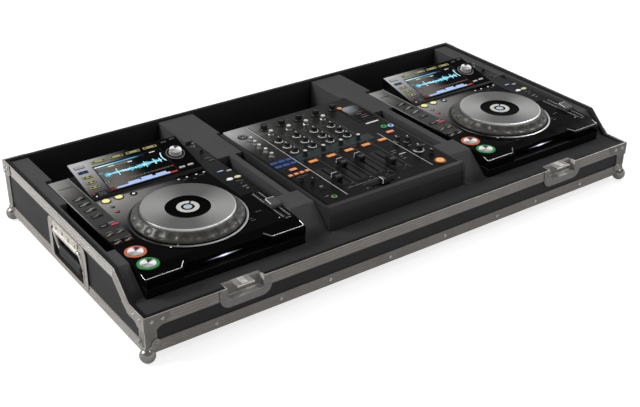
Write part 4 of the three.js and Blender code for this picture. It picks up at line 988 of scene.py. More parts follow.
def ball_corner(side, end):
    """A steel ball under a corner, with three riveted petals. side and end are -1 or 1 along X and Y."""
    name = f"{'left' if side < 0 else 'right'}_{'front' if end < 0 else 'rear'}_ball"
    corner = Vector((side * HALF_WIDTH, end * HALF_DEPTH, CASE_Z))
    centre = Vector((side * (HALF_WIDTH - 4.0), end * (HALF_DEPTH - 4.0), CASE_Z - 2.5))
    ball = bmesh.new()
    bmesh.ops.create_uvsphere(ball, u_segments=56, v_segments=36, radius=BALL_RADIUS)
    ball.transform(Matrix.Translation(centre))
    far = 60.0
    x = sorted((corner.x + side * 0.3, corner.x - side * far))
    y = sorted((corner.y + end * 0.3, corner.y - end * far))
    case_space = box(x, y, (CASE_Z - 0.3, CASE_Z + far))
    below_floor = box((centre.x - far, centre.x + far), (centre.y - far, centre.y + far), (-far, 0.0))
    piece = Piece(name, origin=corner)
    piece.add(cut(ball, case_space, below_floor), ball_steel)
    thick = SHEET + PLATE_OUT
    for place in (
            Matrix(((-side, 0, 0, corner.x), (0, 0, end, corner.y), (0, 1, 0, corner.z), (0, 0, 0, 1))),
            Matrix(((0, 0, side, corner.x), (-end, 0, 0, corner.y), (0, 1, 0, corner.z), (0, 0, 0, 1))),
            Matrix(((-side, 0, 0, corner.x), (0, -end, 0, corner.y), (0, 0, -1, corner.z), (0, 0, 0, 1)))):
        put(piece, prism(petal_outline(), 0.0, thick, 0.55, 3), ball_steel, place)
        rivet_place = place @ Matrix.Translation((PETAL_REACH, PETAL_REACH, thick))
        put(piece, dome(3.7, 1.9), ball_steel, rivet_place)
    piece.done("case", [f"{name}_corner"])


def foam_piece(node):
    """A block of cut foam with its edges eased."""
    piece = Piece(f"{node}_block")
    piece.add(ease(merged_copy(node), 1.3), foam)
    piece.done("case", [node], sharp=60)


def build_case():
    """The case's rivets, ball corners and foam."""
    case_rivets()
    for side in SIDES.values():
        for end in (-1, 1):
            ball_corner(side, end)
    for node in ("well_floor", "front_ledge", "left_side_foam", "right_side_foam", "left_divider",
                 "right_divider"):
        foam_piece(node)


# Latch dishes and handles

FRONT_FACE = Matrix(((1, 0, 0, 0), (0, 0, -1, 0), (0, 1, 0, 0), (0, 0, 0, 1)))
LATCH_BOTTOM = 50.5
LATCH_HALF = 52.0
LATCH_CORNER = 20.0
LATCH_FACE = PLATE_OUT + SHEET
POCKET_Z = 65.0
POCKET_HALF = 36.5
POCKET_DEPTH = 13.0
TAB_Z = 86.3
TAB_DEPTH = (13.0, 22.0)
CATCH_Y, CATCH_ENDS = -3.4, (-17.5, 13.7)
FAR = 80.0


def latch_shell():
    """The dish's pressed sheet: a flange with two round corners, and a pocket that is open on top."""
    flange_outline = [(-LATCH_HALF, FRONT_RIM)]
    for sign, start in ((-1, 180), (1, 270)):
        centre = (sign * (LATCH_HALF - LATCH_CORNER), LATCH_BOTTOM + LATCH_CORNER)
        flange_outline += arc(centre, LATCH_CORNER, start, start + 90, 10)
    flange_outline.append((LATCH_HALF, FRONT_RIM))
    flange = prism(flange_outline, PLATE_OUT, LATCH_FACE)
    wide, tall = 2 * POCKET_HALF, 60.0
    middle = POCKET_Z + tall / 2
    shell_outline = rounded(wide + 2 * SHEET, tall, 7.0, (0, middle - SHEET))
    shell = prism(shell_outline, -POCKET_DEPTH - SHEET, LATCH_FACE)
    hollow = prism(rounded(wide, tall, 6.0, (0, middle)), -POCKET_DEPTH, 10.0, 3.0, 4)
    for body in (flange, shell, hollow):
        body.transform(FRONT_FACE)
    above = box((-FAR, FAR), (-FAR, FAR), (FRONT_RIM, FRONT_RIM + FAR))
    behind = box((-FAR, FAR), (POCKET_DEPTH + 1.0, FAR), (FRONT_RIM - 2.2, FRONT_RIM + FAR))
    return ease(cut(join(flange, shell), hollow, above, behind), 0.5, 3, 40)


def latch_dish(side):
    """Pressed dish in the front, with the keeper, its catch bar and the rivets on the ledge."""
    piece = Piece(f"{side}_latch", (SIDES[side] * PLAYER_X, -HALF_DEPTH, 0.0))
    dish = latch_shell()
    pocket = taken(dish, lambda middle: middle.z < POCKET_Z + 1.5 and middle.y >= 0.5)
    piece.add(dish, latch_steel)
    # Painted light: the pocket's inner faces take a paler steel than the rest of the same pressed dish.
    piece.add(pocket, pocket_steel)
    # The tab on the ledge, the keeper, its bright middle and the small plate beside the pocket
    for x, y, z, bevel, segments, material in (
            ((-37.7, 37.7), TAB_DEPTH, (0.0, 1.2), 0.4, 2, latch_steel),
            ((-19.0, 15.0), (-3.0, 20.4), (1.0, 2.6), 0.5, 3, strap_dim),
            ((-8.0, 4.0), (-1.0, 19.0), (2.4, 2.9), 0.25, 2, pocket_steel),
            ((35.2, 36.4), (-1.0, 12.0), (-6.3, 1.7), 0.3, 2, strap_steel)):
        piece.add(box(x, y, (TAB_Z + z[0], TAB_Z + z[1]), bevel, segments), material)
    piece.add(tube([(x, CATCH_Y, TAB_Z + 1.0) for x in CATCH_ENDS], 1.3), strap_steel)
    across = Matrix.Rotation(math.radians(90), 4, "Y")
    for x in CATCH_ENDS:
        knuckle = lathe([(0, -1.6), (1.8, -1.2), (2.0, 0), (1.8, 1.2), (0, 1.6)], 20)
        piece.add(knuckle, strap_steel, Matrix.Translation((x, CATCH_Y, TAB_Z + 1.0)) @ across)
    for x in (-29.0, 29.0):
        piece.add(dome(2.2, 0.8), latch_steel, (x, sum(TAB_DEPTH) / 2, TAB_Z + 1.2))
    # Painted highlights: bright steel strips along the cut ends of the front rim on both sides of the pocket
    for near, far in ((-58.0, -38.0), (38.0, 58.0)):
        piece.add(box((near, far), (0.4, 1.3), (FRONT_RIM - 0.6, FRONT_RIM + 0.25), 0.2), strap_steel)
        edge = near if near > 0 else far
        lip = box((edge - 0.6, edge + 0.6), (0.4, 9.6), (FRONT_RIM - 0.6, FRONT_RIM + 0.3), 0.2)
        piece.add(lip, strap_steel)
    piece.done("case", [f"{side}_latch_dish"])


HINGE_Z = 91.4
HINGE_OUT = 1.8
HANDLE_Y = 1.0
DISH_Z = CASE_Z + 47.5
DISH_DEPTH = 13.0
STRAP_Z = 101.0
STRAP_HALF = 50.0
ROLL_RADIUS, ROLL_BORE = 4.9, 3.75
ROD_RADIUS = 3.4
BAIL_DROP = 47.0
BAIL_HALF = 57.0
GRIP_OUT = -6.4
BAIL_LEAN = math.asin((HINGE_OUT - GRIP_OUT) / BAIL_DROP)


def side_place(sign):
    """u runs to the rear on the left side and mirrors on the right; v is up and w is out of the side."""
    return Matrix(((0, 0, sign, sign * HALF_WIDTH), (1, 0, 0, HANDLE_Y), (0, 1, 0, 0), (0, 0, 0, 1)))


def handle_dish(side):
    """Pressed dish with a raised bead, and the riveted strap whose rolled edge holds the bail."""
    sign = SIDES[side]
    place = side_place(sign)
    out = PLATE_OUT + SHEET
    flange = prism(rounded(162.0, 89.0, 14.0, (0, CASE_Z + 50.0), 10), PLATE_OUT, out)
    bead = prism(rounded(137.0, 73.0, 11.0, (0, DISH_Z), 10), out - 0.6, out + 1.0, 0.9, 4)
    wide, tall = 129.0, 65.0
    shell_outline = rounded(wide + 2 * SHEET, tall + 2 * SHEET, 7.0 + SHEET, (0, DISH_Z), 8)
    shell = prism(shell_outline, -DISH_DEPTH - SHEET, out)
    hollow = prism(rounded(wide, tall, 7.0, (0, DISH_Z), 8), -DISH_DEPTH, 20.0, 2.5, 4)
    dish = ease(cut(join(flange, bead, shell), hollow), 0.45, 3, 40)
    inside = taken(dish, lambda middle: middle.z < -0.8)
    piece = Piece(f"{side}_handle_plate", origin=(sign * HALF_WIDTH, HANDLE_Y, HINGE_Z))
    put(piece, dish, plate_steel, place)
    put(piece, inside, dish_shade, place)
    strap = prism(rounded(2 * STRAP_HALF + 4.0, 17.0, 2.5, (0, STRAP_Z), 5), out, out + 2.1, 0.5, 3)
    put(piece, strap, strap_steel, place)
    neck = box((-STRAP_HALF, STRAP_HALF), (HINGE_Z, CASE_Z + 84.0), (out - 0.5, out + 2.2), 0.3)
    put(piece, neck, strap_steel, place)
    hinge = (HINGE_Z, HINGE_OUT)
    roll = arc(hinge, ROLL_RADIUS, -10, 270, 20) + arc(hinge, ROLL_BORE, 270, -10, 20)
    put(piece, profile_along_x(roll, (-STRAP_HALF, STRAP_HALF)), strap_steel, place)
    for i in range(4):
        rivet_place = place @ Matrix.Translation(((i - 1.5) * 27.0, STRAP_Z + 0.5, out + 2.0))
        put(piece, dome(4.2, 1.9), strap_steel, rivet_place)
        washer = hoop([(4.2, -0.4), (5.8, -0.4), (5.8, 0.15), (5.4, 0.4), (4.2, 0.4)], 24)
        put(piece, washer, ring_shade, rivet_place)
    piece.done("case", [f"{side}_handle_dish"])


def grip_body():
    """A rubber sleeve with round ends and fine ridges, flattened across the bail."""
    half, radius, corner, bore = 47.0, 13.2, 5.0, 3.8
    ridge, count, dip = 3.1, 22, 0.45
    outline = [(bore, -half), *arc((radius - corner, corner - half), corner, -90, 0, 8)]
    for i in range(count + 1):
        start = ridge * (i - count / 2)
        for step in range(4):
            depth = dip * (1 - math.cos(math.pi * step / 2)) / 2
            outline.append((radius - depth, start + ridge * step / 4))
    outline += arc((radius - corner, half - corner), corner, 0, 90, 8)
    outline.append((bore, half))
    body = hoop(outline, 48)
    body.transform(Matrix.Diagonal((1, 1, 0.56, 1)) @ Matrix.Rotation(math.radians(90), 4, "Y"))
    return body


def handle(side):
    """The handle's dish, its bent rod bail and the grip on it."""
    handle_dish(side)
    sign = SIDES[side]
    lean = Matrix.Rotation(BAIL_LEAN, 4, "X")
    hang = side_place(sign) @ Matrix.Translation((0, HINGE_Z, HINGE_OUT)) @ lean
    origin = (sign * (HALF_WIDTH + HINGE_OUT), HANDLE_Y, HINGE_Z)
    corners = [(-3.0, 0, 0), (-BAIL_HALF, 0, 0), (-BAIL_HALF, -BAIL_DROP, 0), (BAIL_HALF, -BAIL_DROP, 0),
               (BAIL_HALF, 0, 0), (3.0, 0, 0)]
    bail = Piece(f"{side}_handle_rod", origin=origin)
    put(bail, tube(bend_path(corners, 9.0, 12), ROD_RADIUS, 24), rod_steel, hang)
    bail.done(f"{side}_handle", [f"{side}_handle_bail"], sharp=50)
    grip = Piece(f"{side}_handle_rubber", origin=origin)
    put(grip, grip_body(), rubber, hang @ Matrix.Translation((0, -BAIL_DROP, 0)))
    grip.done(f"{side}_handle", [f"{side}_handle_grip"], sharp=50)


# Players

SLOPE_RUN, SLOPE_FALL = 32.0, 8.0
RECESS_WIDE, RECESS_NARROW, RECESS_DEEP = 89.6, 80.6, 12.0
COLUMN_Z = 75.3
COLUMN_WIDE = 42.0
BUTTON_X = -135.5
BUTTON_Y = (84.0, 38.0)
BUTTON_RADIUS, BORE_RADIUS = 14.4, 14.8
JOG_PLACE = (0.0, JOG_Y, 0.0)
TEMPO_X, TEMPO_Y, TEMPO_HALF = 147.0, 94.0, 55.0
POD_FRONT, POD_LOW, POD_TOP = 283.0, 78.6, 104.0
POD_TILT = math.atan2(POD_TOP - POD_LOW, PLAYER_DEPTH - POD_FRONT)
SCREEN_X, SCREEN_Y = -5.0, 334.0
SELECTOR_PLACE = (88.0, 348.0)


def pod_z(y):
    """Height of the sloping face of the display pod."""
    return POD_LOW + (POD_TOP - POD_LOW) * (y - POD_FRONT) / (PLAYER_DEPTH - POD_FRONT)


def on_pod(x, y):
    """Place on the sloping face of the display pod, with Z pointing out of it."""
    return Matrix.Translation((x, y, pod_z(y))) @ Matrix.Rotation(POD_TILT, 4, "X")


def key(width, length, rise, bevel=0.5):
    """A key with eased edges, its foot sunk into what it stands on."""
    return box((-width / 2, width / 2), (-length / 2, length / 2), (-0.8, rise), bevel, 3)


def round_key(radius, rise, bevel=0.6):
    """A round key with a slightly dished top."""
    points = [(0, -0.8), (radius, -0.8), (radius, rise - bevel), (radius - bevel * 0.3, rise - bevel * 0.3),
              (radius - bevel, rise), (radius * 0.5, rise - 0.15), (0, rise - 0.2)]
    return lathe(points, 28)


def small_knob(radius, height, sides=28):
    """A tapered knob with a waist, a grip and a slightly dished top."""
    points = [(0, -0.5), (radius, -0.5), (radius, 1.2), (radius * 0.92, 2.0), (radius * 0.74, 3.4),
              (radius * 0.7, height - 0.8), (radius * 0.62, height), (radius * 0.3, height - 0.3),
              (0, height - 0.35)]
    return lathe(points, sides)


def cover_z(y):
    """Height of the cover's face, which slopes down to its front edge."""
    return COVER_Z - SLOPE_FALL * max(0.0, 1 - y / SLOPE_RUN)


def cover_shell():
    """The cover: a slab with a sloped front, a set-back middle, bores, a slot and the display pod."""
    slab = box((-PLAYER_HALF, PLAYER_HALF), (0, PLAYER_DEPTH), (COVER_BOTTOM, COVER_Z))
    front, high = -8.0, 90.0
    slope = profile_along_x([(front, cover_z(front)), (SLOPE_RUN, COVER_Z), (SLOPE_RUN, high), (front, high)],
                            (-170.0, 170.0))
    recess = prism([(-RECESS_WIDE, front), (RECESS_WIDE, front), (RECESS_WIDE, 0.0),
                    (RECESS_NARROW, RECESS_DEEP), (-RECESS_NARROW, RECESS_DEEP), (-RECESS_WIDE, 0.0)],
                   40.0, high)
    slot = box((TEMPO_X - 1.8, TEMPO_X + 1.8), (TEMPO_Y - TEMPO_HALF, TEMPO_Y + TEMPO_HALF), (64.5, high))
    bores = [disc(BORE_RADIUS, -9.0, 9.0, 64) for _ in BUTTON_Y]
    for bore, y in zip(bores, BUTTON_Y):
        bore.transform(Matrix.Translation((BUTTON_X, y, COVER_Z)))
    shell = cut(slab, slope, recess, slot, *bores)
    start, rear = POD_FRONT - 1.8, PLAYER_DEPTH - 1.8
    wedge = profile_along_x([(start, 70), (start, 76.8), (POD_FRONT, POD_LOW), (rear, pod_z(rear)),
                             (PLAYER_DEPTH, POD_TOP - 1.8), (PLAYER_DEPTH, 70)], (-119.0, 115.0))
    window = box((-71.5, 71.5), (-39.2, 39.2), (-1.0, 9.0))
    window.transform(on_pod(SCREEN_X, SCREEN_Y))
    return ease(cut(join(shell, wedge), window), 0.9, 3, 12)


def build_player(side):
    """One player: shell, cover, jog wheel, buttons, slider and selector."""
    start = Vector((SIDES[side] * PLAYER_X, PLAYER_FRONT, DEVICE_Z))
    dress(f"{side}_player_body", device_shell, 1.2)
    build_cover(side, start)
    build_jog(side, start)
    build_buttons(side, start)
    build_selector(side, start)


def build_cover(side, start):
    """The player's top with everything that is fixed to it, and the seat and ring of the jog wheel."""
    cover = Piece(f"{side}_player_top", start)
    cover.add(cover_shell(), cover_black)
    player_trim(cover)
    player_left_column(cover)
    player_right_column(cover)
    display_fields(cover)
    pod_details(cover)
    cover.add(disc(92.7, 70, 76.5, 96), satin_black, JOG_PLACE)
    ring = hoop([(105.2, 70), (109.4, 70), (109.4, 75.4), (108.9, 76.1), (107.9, 76.5), (106.4, 76.5),
                 (105.5, 76.1), (105.2, 75.4)], 144)
    cover.add(ring, ring_metal, JOG_PLACE)
    cover.add(disc(8, 70, 85.5, 32), silver_trim, JOG_PLACE)
    cover.done(f"{side}_player", [f"{side}_player_cover"], sharp=28)


def build_buttons(side, start):
    """The cue and play buttons and the cap of the tempo slider."""
    for name, y in zip(("cue", "play"), BUTTON_Y):
        button = Piece(f"{side}_{name}_key", start + Vector((BUTTON_X, y, COVER_Z)))
        button.add(lathe([(0, -5), (BUTTON_RADIUS, -5), (BUTTON_RADIUS, 0.9), (14.0, 1.6),
                          (13.1, 2.0), (10.0, 1.75), (5.5, 1.5), (0, 1.45)], 64), button_metal)
        button.done(f"{side}_{name}", [f"{side}_player_{name}_button"])
    slider = Piece(f"{side}_tempo_cap", start + Vector((TEMPO_X, 88.0, COVER_Z)))
    add_tempo_cap(slider)
    slider.done(f"{side}_tempo", [f"{side}_player_tempo_slider"])


def build_selector(side, start):
    """The selector knob with its finely knurled side, on a steel stub."""
    place = on_pod(*SELECTOR_PLACE)
    selector = Piece(f"{side}_selector_knob", start, start + place.translation)
    knob = lathe([(0, 0.4), (12.5, 0.4), (12.5, 2.0), (12.3, 3.0), (12.2, 3.4), (12.2, 8.6), (11.9, 9.6),
                  (11.2, 10.2), (10.2, 10.4), (9.4, 10.1), (3.0, 9.7), (0, 9.7)], 72)
    for vert in knob.verts:
        radius = math.hypot(vert.co.x, vert.co.y)
        if 12.1 < radius < 12.25 and 3.0 < vert.co.z < 9.0:
            turn = math.atan2(vert.co.y, vert.co.x)
            vert.co.xy *= 1 - 0.035 * (round(turn / (2 * math.pi) * 72) % 2)
    selector.add(knob, button_metal, place)
    selector.add(disc(3, -9, 2, 20), steel, place)
    selector.done(f"{side}_select", [f"{side}_player_selector"])


def player_trim(cover):
    """Bright line on the slope round the two front corners, hooked in beside the set-back middle."""
    for sign in (-1, 1):
        path = [(sign * x, y, 0) for x, y in ((159.0, 18.5), (159.0, 4.8), (91.2, 4.8), (80.5, 17.4))]
        points = [(x, y, cover_z(y) + 0.15) for x, y, _ in bend_path(path, 1.6, 5)]
        cover.add(tube(points, 0.65, 10), silver_trim)


def flat_mark(cover, x, y, size, material, rise=0.18):
    """A small printed field on the flat part of the cover."""
    half_x, half_y = size[0] / 2, size[1] / 2
    body = box((x - half_x, x + half_x), (y - half_y, y + half_y), (COVER_Z - 0.2, COVER_Z + rise))
    cover.add(body, material)


def lever(cover, x, y, width, length, bright):
    """A dark key bed with a bright blade whose two ends stand to opposite sides: a painted highlight of a
    glossy key, drawn as a raised part.
    """
    bed = box((x - width / 2, x + width / 2), (y - length / 2, y + length / 2),
              (COLUMN_Z - 0.6, COLUMN_Z + 0.5), 0.35)
    cover.add(bed, cap_black)
    w, h = width * 0.42, length * 0.4
    blade = prism([(-w, -h), (-w * 0.2, -h), (w * 0.5, h * 0.1), (w, h * 0.3), (w, h), (w * 0.2, h),
                   (-w * 0.5, -h * 0.1), (-w, -h * 0.3)], 0.3, 1.7, 0.4, 2)
    cover.add(blade, bright, (x, y, COLUMN_Z))


def player_left_column(cover):
    """The left plate with its levers and keys, the small keys beside it and the two button collars."""
    outline = rounded(COLUMN_WIDE, 257.0, 2.0, (-136.0, 265.5))
    cover.add(prism(outline, COVER_Z - 0.5, COVER_Z + 0.35, 0.25), column_face)
    cover.add(box((-153, -125), (362, 364), (74, 75.6), 0.3), satin_black)
    for y, bright in ((308.5, lever_grey), (284.0, lever_grey), (259.5, lever_grey), (233.0, strip_grey)):
        lever(cover, -136.8, y, 23.0, 10.5, bright)
    cover.add(key(17, 9, 1.6), cap_black, (-142.0, 195, COLUMN_Z))
    cover.add(box((-148, -138), (191.2, 193.2), (76.5, 77.1), 0.2), print_grey)
    cover.add(key(13.5, 6.5, 1.2), key_red, (-122.3, 190, COLUMN_Z))
    flat_mark(cover, -124.5, 199.0, (12.0, 2.6), print_grey, 0.6)
    for x, y in ((-98.6, 274.6), (-71.7, 276.2)):
        cover.add(round_key(7.5, 1.7), key_yellow, (x, y, COVER_Z))
        cover.add(hoop([(7.7, -0.5), (9.7, -0.5), (9.7, 0.5), (7.7, 0.9)], 40), cap_black, (x, y, COVER_Z))
    lamp_place = (-42.7, 273.2, COVER_Z)
    seat = lathe([(0, -0.5), (7.6, -0.5), (7.6, 0.25), (4.4, 0.7), (4.0, 0.2), (0, 0.2)], 36)
    cover.add(seat, cap_black, lamp_place)
    cover.add(round_key(2.8, 1.2, 0.4), lamp_white, lamp_place)
    for y, material in ((248.7, knob_silver), (227.7, key_red)):
        cover.add(round_key(4.6, 0.5, 0.2), cap_black, (-98.2, y - 0.4, COVER_Z))
        cover.add(round_key(3.0, 1.5, 0.5), material, (-99.4, y + 0.4, COVER_Z))
    for x, y in ((-147.4, 158.8), (-126.4, 159.8), (-147.4, 126.8), (-126.2, 127.2)):
        lever(cover, x, y, 17.0, 8.6, warm_silver)
        flat_mark(cover, x + 3.5, y + 10.4, (11.0, 2.2), print_dim, 0.55)
    for y, glow in zip(BUTTON_Y, (ring_orange, ring_green)):
        place = (BUTTON_X, y, COVER_Z)
        collar = hoop([(15.0, -8.0), (20.0, -8.0), (20.0, 0.1), (19.6, 0.45), (15.0, 0.6)], 72)
        ring = hoop([(15.3, 0.3), (19.2, 0.2), (19.2, 0.6), (18.6, 0.8), (15.7, 0.95), (15.3, 0.8)], 72)
        cover.add(collar, satin_black, place)
        cover.add(ring, glow, place)
    for x, y in ((-78.1, 63.7), (-65.8, 61.3)):
        cover.add(round_key(1.9, 0.4, 0.15), print_white, (x, y, COVER_Z))
    for x, y, length in ((83.5, 68.9, 16.0), (88.5, 61.5, 9.0), (112.7, 83.9, 13.0)):
        flat_mark(cover, x, y, (length, 1.3), print_dim)


def player_right_column(cover):
    """The right plate with its knobs, keys and marks, and the bed and scales of the tempo slider."""
    outline = rounded(COLUMN_WIDE, 243.0, 2.0, (137.5, 272.5))
    cover.add(prism(outline, COVER_Z - 0.5, COVER_Z + 0.3, 0.2), side_face)
    for y, material in ((385, knob_silver), (350, knob_black)):
        cover.add(small_knob(4.5, 9.0), material, (148, y, COVER_Z))
    for x, y, width, material in ((146, 322, 11, key_dark), (148, 310, 11, key_dark),
                                  (137, 258, 15, key_blue), (153.6, 252.5, 9.5, key_grey)):
        cover.add(key(width, 5.5, 1.2), material, (x, y, COLUMN_Z))
    cover.add(key(10, 2.0, 1.35), key_yellow, (137, 258, COLUMN_Z))
    for x, y, material in ((135.4, 220.1, lamp_white), (153.2, 220.6, key_cream)):
        oval = round_key(6.4, 1.3)
        oval.transform(Matrix.Diagonal((1.1, 0.72, 1, 1)))
        cover.add(oval, material, (x, y, COLUMN_Z))
    for x, y, width, material in ((145.6, 206.7, 8, print_dim), (153.0, 203.9, 6, print_dim),
                                  (145.8, 195.1, 5, print_dim), (145.4, 181.6, 11, print_grey),
                                  (145.4, 171.6, 6, print_pink)):
        flat_mark(cover, x, y, (width, 2.0), material, 0.45)
    for x in (54.0, 72.0, 93.0, 110.0):
        cover.add(round_key(2.1, 0.8, 0.3), print_white, (x, 275, COVER_Z))
    for x, y, length in ((64.0, 268.5, 9.0), (101.0, 268.5, 12.0), (82.0, 262.0, 7.0)):
        flat_mark(cover, x, y, (length, 1.1), print_dim)
    for x in (139.4, 153.0):
        cover.add(box((x - 1.6, x + 1.6), (40, 146), (74.5, 75.3), 0.15), strip_grey)
        for i in range(21):
            y = 43 + 5.0 * i
            reach = 1.4 if i % 5 == 0 else 0.9
            cover.add(box((x - reach, x + reach), (y - 0.3, y + 0.3), (75.0, 75.42)), print_white)
    bed = plate(rounded(8.6, 113.0, 1.0, (TEMPO_X - 0.4, TEMPO_Y)),
                [rounded(3.2, 109.6, 0.4, (TEMPO_X, TEMPO_Y))], 74.5, 75.2)
    cover.add(bed, satin_black)
    cover.add(box((140.0, 152.0), (34.2, 35.6), (74.6, 75.3)), print_grey)
    cover.add(round_key(1.2, 0.3, 0.1), print_white, (132.0, 43.2, COVER_Z))


def pod_key(cover, width, length, material, x, y):
    """A key in a dark bed, with a dark dot near each end."""
    cover.add(key(width + 1.8, length + 1.8, 0.3, 0.2), cap_black, on_pod(x, y))
    cover.add(key(width, length, 1.1), material, on_pod(x, y))
    for end in (-1, 1):
        dot = lathe([(0, 0.8), (1.9, 0.8), (1.9, 1.25), (1.5, 1.35), (0, 1.35)], 20)
        dot.transform(Matrix.Diagonal((1.35, 1, 1, 1)))
        cover.add(dot, cap_black, on_pod(x + end * (width / 2 - 4.2), y))


WAVE = ((-66, 5.0), (-62, 8.5), (-58, 6.0), (-54, 2.2), (-47, 3.0), (-43, 5.0), (-40, 10.5), (-38, 3.2),
        (-27, 3.6), (-17, 3.4), (-13, 8.8), (-10, 6.6), (-7, 1.8), (0, 5.5), (5, 7.2), (12, 5.6),
        (18, 9.4), (25, 6.8), (30, 2.6), (34, 2.4), (38, 9.8), (41, 8.0), (44, 3.8), (50, 7.4), (54, 2.5))
WAVE_START, WAVE_STEP, WAVE_COUNT = -66.0, 2.0, 60


def wave_height(x):
    """Height of the trace between the two points of the table round x."""
    for (x0, high0), (x1, high1) in zip(WAVE, WAVE[1:]):
        if x <= x1:
            return high0 + (high1 - high0) * (x - x0) / (x1 - x0)
    return WAVE[-1][1]


def display_fields(cover):
    """The display: its frame, its glass and the lit fields on it, drawn from the middle of the screen."""
    screen = on_pod(0, SCREEN_Y)
    frame_hole = rounded(142.4, 78.0, 0.8, (SCREEN_X, 0))
    cover.add(plate(rounded(146.0, 81.6, 1.5, (SCREEN_X, 0)), [frame_hole], -0.4, 0.25), satin_black, screen)
    cover.add(box((-76.4, 66.4), (-39.1, 39.1), (-1.2, -0.6)), screen_face, screen)

    def field(x, y, material, lift=0.0):
        cover.add(box(x, y, (-0.65, -0.45 + lift)), material, screen)

    for x, y, material, lift in (
            ((-75.5, 30.0), (34.6, 38.0), screen_bar, 0.0), ((-70.0, -6.0), (27.4, 31.8), screen_olive, 0.0),
            ((-50.0, -37.0), (28.2, 31.2), key_cream, 0.04), ((-9.0, 0.0), (26.6, 29.0), lamp_white, 0.04),
            ((-76.0, -67.5), (12.5, 19.5), screen_teal, 0.0), ((-62.0, 54.0), (6.6, 8.2), screen_pale, 0.03),
            ((-76.0, -66.5), (-38.0, -29.5), screen_maroon, 0.0),
            ((51.5, 65.5), (-37.6, -33.6), screen_red, 0.0), ((42.0, 54.0), (36.0, 38.2), print_white, 0.0)):
        field(x, y, material, lift)
    for i in range(WAVE_COUNT):
        x = WAVE_START + WAVE_STEP * i
        half = wave_height(x) * (0.72 + 0.28 * math.cos(i * 2.4))
        middle = 7.4 + 1.2 * math.sin(i * 0.16)
        bright = half > 8.2 or -34 < x < -16 or i % 9 == 4
        field((x, x + 1.8), (middle - half, middle + half), screen_pale if bright else screen_cyan)
    for i in range(26):
        x = -37.0 + 4.0 * i
        half = 0.8 + 1.5 * abs(math.sin(i * 1.7))
        material = (print_dim, screen_green, screen_red, screen_olive)[(i * 7 // 3) % 4]
        field((x, x + 1.9), (-18.0 - half, -18.0 + half), material)
    for i in range(4):
        x = -76.0 + 3.0 * i
        field((x, x + 2.2), (-18.0 + i, -10.0), print_grey if i % 2 == 0 else key_dark)
    for x0, x1, top in ((-62, -37, -32.6), (-37, -13, -27.5), (-13, -9, -31.0), (-9, 15, -25.5),
                        (15, 22, -30.5), (22, 44, -27.0), (44, 50.5, -32.0)):
        field((x0, x1), (-37.2, top), screen_blue)
    glow = arc_band(28.5, 31.0, 152, 206, -0.65, -0.4, 20)
    glow.transform(Matrix.Translation((SELECTOR_PLACE[0], 14.3, 0.0)))
    cover.add(cut(glow, box((66.2, 130.0), (-60.0, 90.0), (-5.0, 5.0))), screen_pale, screen)


def pod_details(cover):
    """The keys round the display, the card slot at its left and the rings round the selector."""
    screen = on_pod(0, SCREEN_Y)
    for x in (-59.0, -22.2, 14.4, 51.3):
        pod_key(cover, 29.0, 6.6, key_olive, x, 384.5)
    for y in (349, 333, 317.2):
        pod_key(cover, 18.5, 6.8, key_olive, -99.5, y)
    pod_key(cover, 18.5, 6.6, key_navy, -100.5, 365.5)
    cover.add(key(20.5, 8.6, 0.3, 0.2), cap_black, on_pod(-101.0, 381.5))
    cover.add(key(18.5, 6.6, 1.1), key_grey, on_pod(-101.0, 381.5))
    cover.add(prism(rounded(31.0, 15.5, 1.5, (-99.0, -39.8)), -0.3, 0.2), cap_black, screen)
    cover.add(box((-113.0, -108.0), (-36.0, -33.4), (0.0, 0.45)), key_red, screen)
    cover.add(round_key(1.8, 0.7, 0.2), print_white, on_pod(-108.2, SCREEN_Y - 42.0))
    for v in (-35.5, -39.0, -43.0):
        cover.add(box((-102.0, -86.5), (v - 0.6, v + 0.6), (0.0, 0.35)), print_dim, screen)
    lip = box((-118.6, 114.6), (-3.4, 3.4), (-0.3, 0.22), 0.15)
    cover.add(lip, cap_black, on_pod(0, POD_FRONT + 4.2))
    seat = hoop([(13.2, -0.5), (17.8, -0.5), (17.8, 0.5), (17.2, 0.8), (13.6, 0.5), (13.2, 0.2)], 64)
    cover.add(seat, cap_black, on_pod(*SELECTOR_PLACE))
    rim = hoop([(17.9, -0.4), (18.7, -0.4), (18.7, 0.35), (17.9, 0.6)], 64)
    cover.add(rim, print_grey, on_pod(*SELECTOR_PLACE))
    for x, y in ((84, 388), (104, 391)):
        cover.add(key(11, 4.5, 1.2), key_dark, on_pod(x, y))
    for x, y in ((78.5, 303.5), (97, 304.5)):
        cover.add(key(12, 5.0, 1.2), key_grey, on_pod(x, y))
        cover.add(box((-6.0, 6.0), (-0.5, 0.5), (1.1, 1.4)), print_white, on_pod(x, y))


JOG_RIM = ((8.3, 1.8), (102.2, 1.8), (103.0, 2.6), (103.0, 5.6), (102.5, 6.9), (101.2, 8.0), (99.4, 9.2),
           (97.9, 10.5), (96.4, 12.0), (94.9, 13.5), (93.4, 15.0), (92.1, 16.4), (90.9, 17.4), (89.6, 17.8),
           (88.4, 17.6), (84.6, 17.2), (78.0, 12.0), (12.0, 12.0), (8.3, 10.0))
JOG_LIP = ((86.7, 16.6), (87.0, 17.0), (87.0, 20.0), (86.7, 20.7), (86.0, 21.2), (85.0, 21.45))
JOG_TOP = ((85.0, 21.45), (84.0, 21.5), (82.6, 21.3), (81.4, 20.9), (80.0, 20.7), (60.0, 20.4),
           (44.0, 20.05), (42.4, 19.9), (42.0, 19.5), (42.0, 16.5), (86.7, 16.6))
JOG_DISPLAY = ((42.0, 16.0), (42.0, 19.2), (41.2, 19.6), (40.0, 19.5), (39.0, 19.1), (0, 19.1), (0, 16.0))
DIMPLES = 24
DIMPLE_RADIUS = 96.6
DIMPLE_DEPTH = 1.9


